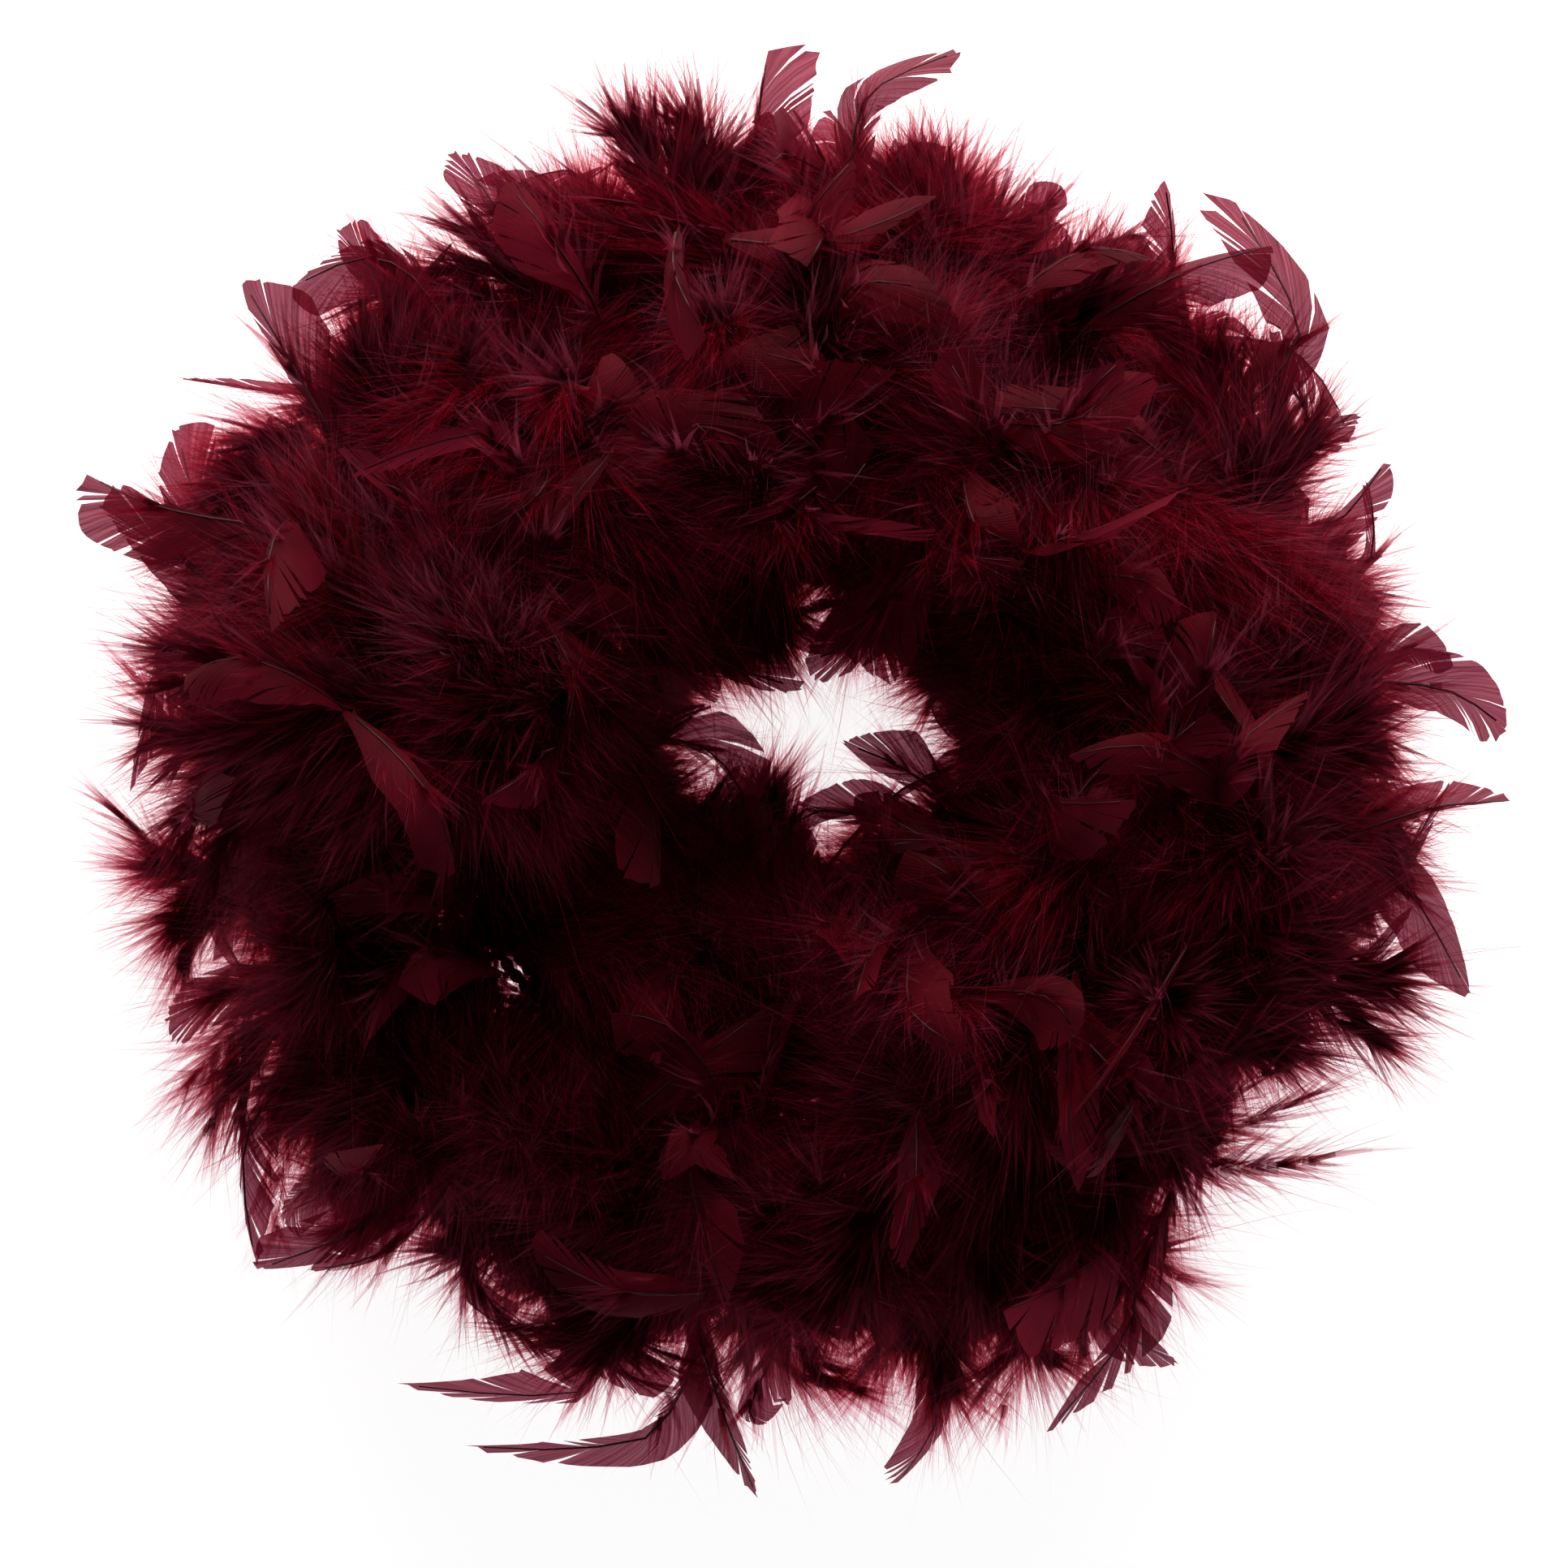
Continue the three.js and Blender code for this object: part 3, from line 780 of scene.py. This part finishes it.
class Route:
    """A flat feather's quill: straight from foot to leave, then a curve by middle to tip."""

    def __init__(self, foot, leave, middle, tip, face, kink, curl):
        self.foot, self.leave, self.middle, self.tip = foot, leave, middle, tip
        self.face, self.kink, self.curl = face, kink, curl
        straight = np.linalg.norm(leave - foot)
        chords = (middle - leave, tip - leave, tip - middle)
        self.bent = sum(np.linalg.norm(chord) for chord in chords) / 2
        self.total = straight + self.bent
        self.change = straight / self.total

    def at(self, t):
        """The quill's middle, from its foot (0) to its tip (1) and a little past it."""
        t = np.asarray(t, float)[..., None]
        late = (t - self.change) / (1 - self.change)
        share = np.clip(late, 0, 1)
        early = self.foot + (self.leave - self.foot) * np.clip(t / self.change, 0, 1)
        curved = bezier(share, self.leave, self.middle, self.tip)
        folded = np.where(
            share < 0.5,
            self.leave + (self.middle - self.leave) * share * 2,
            self.middle + (self.tip - self.middle) * (share * 2 - 1),
        )
        curved = curved + self.kink * (folded - curved)
        beyond = np.clip(late - 1, 0, None) * unit(self.tip - self.middle) * self.bent
        rolled = self.curl * CURL_RISE * np.clip(late, 0, 2) ** 3
        return np.where(t < self.change, early, curved + beyond) + rolled * self.face

    def frame_at(self, t):
        """The directions to the quill's side and out of the feather's face."""
        along = unit(self.at(t + 0.01) - self.at(t - 0.01))
        side = across(np.broadcast_to(np.cross(self.tip - self.leave, self.face), along.shape), along)
        return side, np.cross(side, along)


def grow_vane(growth, rng, route, hand, width, stripped, knots, blunt, sweep):
    """The bundles of barbs on one side of a quill, which leave it at the knots. hand is the side, and
    blunt is the share of the vane at which it starts to taper."""
    share = (knots - knots[0]) / (knots[-1] - knots[0])
    taper = 1 - (np.clip(share - blunt, 0, 1) / (1 - blunt)) ** 1.3
    wide = width / 2 * (1 + FULLER * abs(stripped))
    half = wide * smoothstep(share, -0.12, 0.2) * np.maximum(taper, -0.05)
    if hand * stripped > 0:
        half = half * (1 - abs(stripped)) / (1 + FULLER * abs(stripped))
    jag = rng.uniform(0.97, 1.02, VANE_ROWS + 1)
    parts = rng.random(VANE_ROWS + 1) < SPLITS + (TIP_SPLITS - SPLITS) * share**2
    split = parts * rng.uniform(*PARTING, VANE_ROWS + 1)
    split = split * (knots[1] - knots[0])
    q = VANE_BARBS.corners[:, 1][None, :]
    later = VANE_BARBS.corners[:, 0][None, :] > 0
    row = np.arange(VANE_ROWS)[:, None] + later
    open_up = np.clip((q - 0.3) / 0.7, 0, 1) * split[row] * np.where(later, -1, 1)
    t = knots[row] + q * sweep * (0.55 + 0.45 * np.clip(half / wide, 0, 1)[row]) + open_up
    side, over = route.frame_at(t)
    lateral = (half * jag)[row] * q
    droop = 0.22 + 0.5 * abs(route.curl)
    places = route.at(t) + hand * lateral[..., None] * side
    places = places - (droop * lateral**2 / (width / 2))[..., None] * over
    uvs = np.stack([knots[row] * route.total, lateral], -1) * FEATHER_MAP_SCALE
    strip = VANE_BARBS if hand > 0 else FLIPPED_BARBS
    growth.add(places, strip, np.full((VANE_ROWS, len(strip.sizes)), VANE_SLOT), uvs)


def grow_quill(growth, route, end):
    rings = np.linspace(0, end, QUILL_RINGS)
    side, over = (v[:, None] for v in route.frame_at(rings))
    thick = (QUILL_THICK + (QUILL_THIN - QUILL_THICK) * rings)[:, None, None]
    turn = np.linspace(0, 2 * np.pi, QUILL_SIDES, endpoint=False)[None, :, None]
    tube = route.at(rings)[:, None] + thick * (np.cos(turn) * side + np.sin(turn) * over)
    growth.add(tube.reshape(1, -1, 3), TUBE, np.full((1, len(TUBE.sizes)), QUILL_SLOT))


def grow_flat(growth, rng, foot, leave, middle, tip, face, width, style):
    """One flat feather. style sets how pointed its tip is (0 blunt, 1 pointed), how much of one side is
    stripped, and its curl."""
    pointed, stripped, curl = style
    route = Route(foot, leave, middle, tip, face, rng.uniform(*KINK), curl)
    sweep = BARB_SWEEP * width / 2 / route.total
    ends_at = 1 - 0.9 * sweep
    knots = np.linspace(max(0.2, route.change * 0.85), ends_at, VANE_ROWS + 1)
    blunt = rng.permutation([rng.uniform(0.3, 0.6), rng.uniform(0.75, 0.92)]) - 0.25 * pointed
    for hand in (-1, 1):
        start = blunt[(hand + 1) // 2]
        grow_vane(growth, rng, route, hand, width, stripped, knots, start, sweep)
    grow_quill(growth, route, ends_at + 0.3 * sweep)

    # Down at its foot, over the first part of the bend.
    curve = (foot, leave, route.at(route.change + 0.45 * (1 - route.change)), face)
    curve = [place[None] for place in curve]
    grow_down(growth, rng, *curve, np.zeros(1, int), FOOT_BARBS, first=0.45, length=FOOT_LENGTH)


def quill_tube():
    """The faces of a thin tube of rings, with both ends closed."""
    ring, side = np.meshgrid(np.arange(QUILL_RINGS - 1), np.arange(QUILL_SIDES), indexing="ij")
    a = ring * QUILL_SIDES + side
    b = ring * QUILL_SIDES + (side + 1) % QUILL_SIDES
    walls = np.stack([a, a + QUILL_SIDES, b + QUILL_SIDES, b], -1).reshape(-1, 4)
    far_end = (QUILL_RINGS - 1) * QUILL_SIDES + np.arange(QUILL_SIDES)[::-1]
    return Strip(None, [*walls, np.arange(QUILL_SIDES), far_end])


def flipped(strip):
    """The same strip with its faces turned over, for the other side of a quill."""
    faces = np.split(strip.loops, np.cumsum(strip.sizes)[:-1])
    return Strip(strip.corners, [face[::-1] for face in faces])


TUBE = quill_tube()
FLIPPED_BARBS = flipped(VANE_BARBS)

# ---- Plumage, section by section -------------------------------------------------------------------

HALF_WIDTH = 75 * MM  # from the cord out to where most of the down ends
INNER_HALF_WIDTH = 68 * MM  # and from the cord in towards the hole
HOLE_STRETCH = 15 * MM  # how much wider than long the hole is, on each side
SQUEEZE = 8 * MM  # it is narrower by up to this on the side that the coil leans to
CROWN = 42 * MM  # over the cord, where no turn lies on it
DROOP = 38 * MM  # under the cord, where no turn lies below it
SQUEEZED = TURN_PITCH / 2  # over and under it, between two turns


def uncovered(turns):
    """How free the top of the coil is there: 1 where no later turn lies on it."""
    return smoothstep(turns, Coil.total - 1.08, Coil.total - 1.0)


def plume_size(turns, angle):
    """Half the plumage's width, and its height over and under the cord."""
    hanging = 1 - smoothstep(turns, 0.94, 1.02)
    lean = np.cos(angle - LEAN_ANGLE)
    outer = HALF_WIDTH - SQUEEZE * lean
    inner = INNER_HALF_WIDTH - 1.25 * SQUEEZE * lean - HOLE_STRETCH * np.cos(angle) ** 2
    above = SQUEEZED + (CROWN - SQUEEZED) * uncovered(turns)
    return outer, inner, above, SQUEEZED + (DROOP - SQUEEZED) * hanging


def surface_place(turns, phi, share):
    """A point of the plumage's outline round the cord, and the direction that it faces."""
    angle = turn_angle(turns)
    outer, inner, above, below = plume_size(turns, angle)
    half = np.where(np.cos(phi) > 0, outer, inner)
    height = np.where(np.sin(phi) > 0, above, below)
    radial, place = outwards(angle), cord_place(turns) + CENTRE
    u, w = half * np.cos(phi) * share, height * np.sin(phi) * share
    face = radial * (np.cos(phi) / half)[..., None] + UP * (np.sin(phi) / height)[..., None]
    return place + radial * u[..., None] + UP * w[..., None], unit(face)


TOP_SHARE = 0.62  # of the feathers, where no turn lies on them
OUTER_SHARE = 0.72  # of the others
TOP_ARC, OUTER_ARC, INNER_ARC = (22, 155), (-60, 45), (145, 215)  # degrees round the cord


def pick_directions(rng, turns):
    """Directions round the cord, mostly those where the plumage shows: outwards, and up if nothing
    lies on it. Fewer point into the hole."""
    top_share = TOP_SHARE * uncovered(turns)
    kind = rng.random(turns.shape)
    top = np.radians(rng.uniform(*TOP_ARC, turns.shape))
    outer = np.radians(rng.uniform(*OUTER_ARC, turns.shape))
    inner = np.radians(rng.uniform(*INNER_ARC, turns.shape))
    side = np.where(kind < top_share + OUTER_SHARE * (1 - top_share), outer, inner)
    return np.where(kind < top_share, top, side)


def section_ends(section):
    step = BOA_LENGTH / CORD_STEPS
    return (1 + section * STEPS_PER_SECTION) * step, (1 + (section + 1) * STEPS_PER_SECTION) * step


# How many feathers a section has: where it is covered, and on top.
DOWN_FEATHERS = (51, 121)
DOWN_BARBS = 172
FILL_FEATHERS = (44, 80)
FILL_BARBS = 60
FILL_REACH = 0.55
SMALL_FLATS = (6, 14)
END_FEATHERS = 42
BUNCH = 5  # feathers that stand together
TONES = (-1, -1, -1, 0, 0, 1)
# The fill feathers inside the plumage take the two darkest steps: painted shade where the outer
# feathers shade them.
PAINTED_SHADE_TONES = (-2, -1)
REACHING_OUT = 0.26  # the share of bunches that stand out past the rest
OUT_REACH, USUAL_REACH = (1.1, 1.22), (0.82, 1.06)


def spread_over(rng, low, high, count):
    return low + (high - low) * (np.arange(count) + rng.random(count)) / count


def grow_plumes(
    growth, rng, low, high, count, barbs, reach=1.0, first=0.35, tones=TONES, forward=None, bunch=BUNCH
):
    """Downy feathers that leave the cord in bunches, and bend over to lie along the outline, or along
    a share of it, reach, and then all round the cord. forward is how far they run along it."""
    bunches = count // bunch
    member = np.arange(count) % bunches
    at = spread_over(rng, low, high, bunches)
    length = np.clip(at[member] + rng.normal(0, 5 * MM, count), low, high)
    phi = pick_directions(rng, along_cord(at)[1])
    swing = rng.normal(0, 22 * MM, bunches)
    if reach < 1:
        phi = rng.uniform(0, 2 * np.pi, bunches)
    if forward:
        swing = rng.uniform(*forward, bunches)
    fall = rng.normal(0, 0.35, bunches) * (np.sin(phi) > 0)
    stands_out = rng.random(bunches) < REACHING_OUT
    far, near = rng.uniform(*OUT_REACH, bunches), rng.uniform(*USUAL_REACH, bunches)
    out = reach * np.where(stands_out, far, near)
    tone = rng.choice(tones, bunches)[member]

    place, turns = along_cord(length)
    phi = phi[member] + rng.normal(0, 0.14, count)
    swing = swing[member] + rng.normal(0, 7 * MM, count)
    out = out[member] * rng.uniform(0.9, 1.04, count)
    later = turns + swing / (2 * np.pi * turn_radius(turn_angle(turns)))
    leave, _ = surface_place(turns, phi, out * rng.uniform(0.72, 0.9, count))
    tip, face = surface_place(later, phi + fall[member], out)
    middle = leave + (leave - place) * 0.12
    foot = place + unit(leave - place) * CORD_DIAMETER / 2
    grow_down(growth, rng, foot, middle, tip, face, tone, barbs, first)


# Long downy feathers that stand out past the rest: turns, tilt from level in degrees, and reach.
TUFTS = (
    (0.625, 8, 1.4),
    (1.655, 5, 1.34),
    (0.895, 0, 1.36),
    (0.945, -5, 1.4),
    (1.31, 12, 1.2),
    (0.2, 10, 1.25),
)
TUFT_FEATHERS = 7
TUFT_SAG = 12 * MM


def grow_tufts(growth, rng, low, high):
    for turns, tilt, reach in TUFTS:
        length = float(np.interp(turns, Coil.turns, Coil.run))
        if not low <= length < high:
            continue
        place, turns = along_cord(length + rng.normal(0, 3 * MM, TUFT_FEATHERS))
        phi = math.radians(tilt) + rng.normal(0, 0.2, TUFT_FEATHERS)
        leave, _ = surface_place(turns, phi, 0.8)
        swung = turns + rng.normal(0, 0.03, TUFT_FEATHERS)
        tip, face = surface_place(swung, phi, reach * rng.uniform(0.8, 1, TUFT_FEATHERS))
        tip = tip - rng.uniform(0, TUFT_SAG, (TUFT_FEATHERS, 1)) * UP
        foot = place + unit(leave - place) * CORD_DIAMETER / 2
        tones = rng.integers(0, 2, TUFT_FEATHERS)
        face = (face + UP) / 2
        grow_down(growth, rng, foot, leave, tip, face, tones, DOWN_BARBS, first=0.4, flat=0.25)


STRIPPED = (-0.85, -0.6, -0.2, 0.2, 0.6, 0.85)
FLAT_ON_TOP = 0.85  # the share of a top section's small flats that lie on its crown
SMALL_LENGTH, SMALL_WIDTH = (38, 84), (12, 20)  # in millimetres, as the next line is
TIP_LIFT, BEND_LIFT, SIDE_BOW = (4, 22), (13, 27), 11  # off the plumage, and to one side
BEND_AT = (0.25, 0.55)  # the share of its length at which it bends


def grow_small_flats(growth, rng, low, high, count, on_top):
    """Flats that lie over the plumage, each in its own direction."""
    for _ in range(count):
        place, turns = along_cord(np.array([rng.uniform(low, high)]))
        phi = pick_directions(rng, turns)
        if rng.random() < FLAT_ON_TOP * on_top:
            phi = np.radians(rng.uniform(35, 160, 1))
        leave, face = surface_place(turns, phi, np.array([1.0]))
        around = np.cross(UP, outwards(turn_angle(turns)))
        place, leave, face, around = place[0], leave[0], face[0], around[0]
        heading = rng.uniform(0, 2 * np.pi)
        slide = unit(np.cross(face, around)) * math.cos(heading) + around * math.sin(heading)
        long = rng.uniform(*SMALL_LENGTH) * MM
        tip = leave + slide * long * 0.85 + face * rng.uniform(*TIP_LIFT) * MM
        middle = leave + face * rng.uniform(*BEND_LIFT) * MM + slide * long * rng.uniform(*BEND_AT)
        middle += np.cross(slide, face) * rng.normal(0, SIDE_BOW) * MM
        style = (rng.uniform(0, 1) ** 2, rng.choice(STRIPPED), rng.normal(0, 0.3))
        foot = place + unit(leave - place) * CORD_DIAMETER / 2
        turned = unit(face + 0.45 * rng.normal(0, 1, 3))
        width = rng.uniform(*SMALL_WIDTH) * MM
        grow_flat(growth, rng, foot, leave, middle, tip, turned, width, style)


TOP_END_AHEAD = (15 * MM, 55 * MM)
LOWER_END_BACK = (-70 * MM, -15 * MM)


def plumage_section(section):
    rng = np.random.default_rng(100 + section)
    low, high = section_ends(section)
    on_top = float(uncovered(np.interp((low + high) / 2, Coil.run, Coil.turns)))
    count, fill, flats = (
        int(round(a + (b - a) * on_top)) for a, b in (DOWN_FEATHERS, FILL_FEATHERS, SMALL_FLATS)
    )
    growth = Growth()
    grow_plumes(growth, rng, low, high, count, DOWN_BARBS)
    # Short fill feathers all round the cord, in the darkest steps as painted shade inside the plumage.
    grow_plumes(
        growth, rng, low, high, fill, FILL_BARBS, FILL_REACH, first=0.02, tones=PAINTED_SHADE_TONES, bunch=1
    )
    grow_tufts(growth, rng, low, high)
    # At both ends feathers run on past the last of the cord, and hide it.
    if section == PLUME_SECTIONS - 1:
        last = (high - 25 * MM, high)
        grow_plumes(growth, rng, *last, END_FEATHERS, DOWN_BARBS, reach=0.75, forward=TOP_END_AHEAD)
    if section == 0:
        last = (low, low + 20 * MM)
        grow_plumes(growth, rng, *last, END_FEATHERS, DOWN_BARBS, first=0.2, forward=LOWER_END_BACK)
    down = growth.piece(f"plumage_{section + 1:02d}_down", DOWN)

    growth = Growth()
    grow_small_flats(growth, rng, low, high, flats, on_top)
    vanes = growth.piece(f"plumage_{section + 1:02d}_flats", FEATHER_MATERIALS)
    for piece, slot in ((down, "downy_plumage"), (vanes, "flat_feather")):
        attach(piece, ROOT)
        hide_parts(f"plumage_{section + 1:02d}")


for section in range(PLUME_SECTIONS):
    plumage_section(section)

# ---- The long flats that stand out -----------------------------------------------------------------

# The same feathers as the CAD solids, in degrees and millimetres: the gap between two sections that it
# grows from, rise, swing, past, lift, bow and width. Then its style: pointed, stripped and curl.
EDGE_FLATS = [
    (18, 22, -9, 110, 4, 16, 20, (0.6, 0.3, 0.8)),
    (2, 8, -2, 96, 7, -12, 24, (0.2, 0.0, -0.3)),
    (10, 10, 5, 95, 11, 8, 22, (0.3, -0.3, 0.3)),
    (17, 12, 16, 108, -7, -6, 20, (0.0, 0.0, 0.2)),
    (9, 6, 1, 109, -7, 10, 19, (0.8, -0.4, -0.2)),
    (1, 6, -1, 92, -3, -9, 20, (0.2, 0.0, 0.4)),
    (16, 14, 4, 117, -12, 15, 16, (0.7, 0.7, 0.3)),
    (8, 8, 16, 104, -5, 8, 15, (0.7, -0.7, 0.3)),
    (16, -8, -13, 122, -30, -14, 24, (0.8, 0.0, -0.5)),
    (7, 8, 6, 131, -33, 6, 22, (0.6, 0.0, 0.2)),
    (15, 6, -17, 118, -16, -14, 18, (0.3, 0.6, -0.3)),
    (14, 12, 7, 128, -23, 12, 17, (0.5, -0.6, 0.6)),
    (6, 8, 8, 108, -3, -9, 21, (0.2, 0.0, 0.5)),
    (14, -10, -19, 137, -26, 10, 17, (0.7, 0.6, 0.0)),
    (6, -8, -18, 133, -5, 14, 19, (0.5, -0.5, 0.4)),
    (13, 16, 13, 123, 12, -8, 18, (0.8, 0.7, 0.0)),
    (5, 10, -1, 117, 7, -10, 20, (0.3, 0.0, 0.3)),
    (12, -4, 21, 94, -4, 8, 16, (0.5, 0.0, 0.5)),
    (12, 18, -6, 126, 15, -12, 24, (0.5, 0.0, 0.3)),
    (4, 6, -8, 123, -1, 12, 25, (0.0, 0.0, 0.6)),
    (19, 16, 12, 94, 3, -7, 20, (0.4, 0.4, 0.0)),
    (19, -6, 2, 107, -9, 12, 17, (0.5, 0.0, 0.8)),
    (11, 12, 0, 113, 9, -9, 21, (0.2, 0.0, 0.2)),
    (11, -8, -16, 90, -9, -6, 15, (0.9, 0.8, 0.0)),
]
CROWN_FLATS = [
    (18, 74, -15, 34, 51, 14, 24, (0.3, 0.0, -0.4)),
    (18, 98, 17, 8, 55, -10, 20, (0.6, 0.3, 0.0)),
    (17, 84, -4, 28, 53, 12, 19, (0.8, 0.5, 0.0)),
    (14, 84, -1, 25, 63, -12, 24, (0.5, 0.0, -0.3)),
    (15, 86, -2, 17, 57, -6, 20, (0.4, 0.0, -0.3)),
    (19, 92, 25, 6, 53, 12, 22, (0.2, 0.0, -0.5)),
]
HOLE_FLATS = [
    (19, 170, -78, -81, 6, 10, 22, (0.9, 0.6, 0.2)),
    (16, 172, 47, -94, -5, -10, 20, (0.9, -0.5, 0.3)),
    (12, 172, 100, -90, 0, 10, 18, (0.6, 0.7, 0.2)),
    (8, 176, -60, -106, 25, 6, 18, (0.8, -0.6, 0.1)),
]
CAD_HALF_WIDTH = 63 * MM
CAD_CROWN = 40 * MM
SLEEVE_EXIT = 2.5 * MM
SLIMMER = 0.86  # barbs that have parted make a vane look wider than it is


def standing_flat(name, number, spec):
    """A long flat on the route that its CAD solid has."""
    gap, rise, swing, past, lift, bow, width, style = spec
    rng = np.random.default_rng(500 + number)
    place, turns = along_cord((1 + gap * STEPS_PER_SECTION) * BOA_LENGTH / CORD_STEPS)
    angle = turn_angle(turns)
    radial = outwards(angle)
    rise, swing = math.radians(rise), math.radians(swing)
    aim = radial * math.cos(rise) + UP * math.sin(rise)
    open_above = smoothstep(turns, Coil.total - 0.95, Coil.total - 0.85)
    half = CAD_HALF_WIDTH - SQUEEZE * math.cos(angle - LEAN_ANGLE)
    height = SQUEEZED + (CAD_CROWN - SQUEEZED) * open_above
    out = 1 / math.hypot(math.cos(rise) / half, math.sin(rise) / height) + SLEEVE_EXIT
    leave = place + aim * out
    tip = outwards(angle + swing) * (turn_radius(angle) + past * MM) + CENTRE
    tip[2] = turn_height(turns + swing / (2 * math.pi)) + lift * MM
    sideways = unit(np.cross(UP, tip - leave))
    middle = leave + aim * np.linalg.norm(tip - leave) * 0.45 + sideways * bow * MM
    face = UP if abs(math.cos(rise)) > 0.7 else unit(UP + 0.3 * radial)
    face = unit(face + 0.3 * rng.normal(0, 1, 3))
    foot = place + aim * CORD_DIAMETER / 2
    growth = Growth()
    grow_flat(growth, rng, foot, leave, middle, tip, face, SLIMMER * width * MM, style)
    piece = growth.piece(f"{name}_{number:02d}_feather", FEATHER_MATERIALS)
    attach(piece, ROOT)
    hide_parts(f"{name}_{number:02d}")


for name, specs in (("edge_flat", EDGE_FLATS), ("crown_flat", CROWN_FLATS), ("hole_flat", HOLE_FLATS)):
    for number, spec in enumerate(specs, 1):
        standing_flat(name, number, spec)

# ---- Table and light -------------------------------------------------------------------------------


def lit_table():
    """A plain pale table, lit from inside, so that it is almost white behind the feathers."""
    bpy.ops.mesh.primitive_plane_add(size=12, location=(0, 0, 0))
    table = bpy.context.active_object
    table.name = "table"
    material, tree = new_material("opal_table")
    glow = node(
        tree,
        "ShaderNodeBsdfPrincipled",
        Base_Color=linear("#f4f4f4"),
        Roughness=0.9,
        Emission_Color=linear("#ffffff"),
        Emission_Strength=0.93,
    )
    show(tree, glow.outputs["BSDF"])
    table.data.materials.append(material)


def softbox(name, place, size, power, colour):
    data = bpy.data.lights.new(name, "AREA")
    data.shape, data.energy = "RECTANGLE", power
    data.size, data.size_y = size
    data.color = linear(colour)[:3]
    lamp = bpy.data.objects.new(name, data)
    bpy.context.collection.objects.link(lamp)
    lamp.location = place
    lamp.rotation_euler = (-Vector(place)).to_track_quat("-Z", "Y").to_euler()


def light_the_scene():
    world = bpy.data.worlds.new("studio")
    bpy.context.scene.world = world
    world.use_nodes = True
    world.node_tree.nodes["Background"].inputs["Color"].default_value = linear("#f2f4f8")
    world.node_tree.nodes["Background"].inputs["Strength"].default_value = 0.065
    softbox("window", place=(0.02, 0.85, 0.42), size=(1.3, 0.5), power=10.4, colour="#fff4ee")
    bpy.context.scene.view_settings.view_transform = "Standard"


lit_table()
light_the_scene()
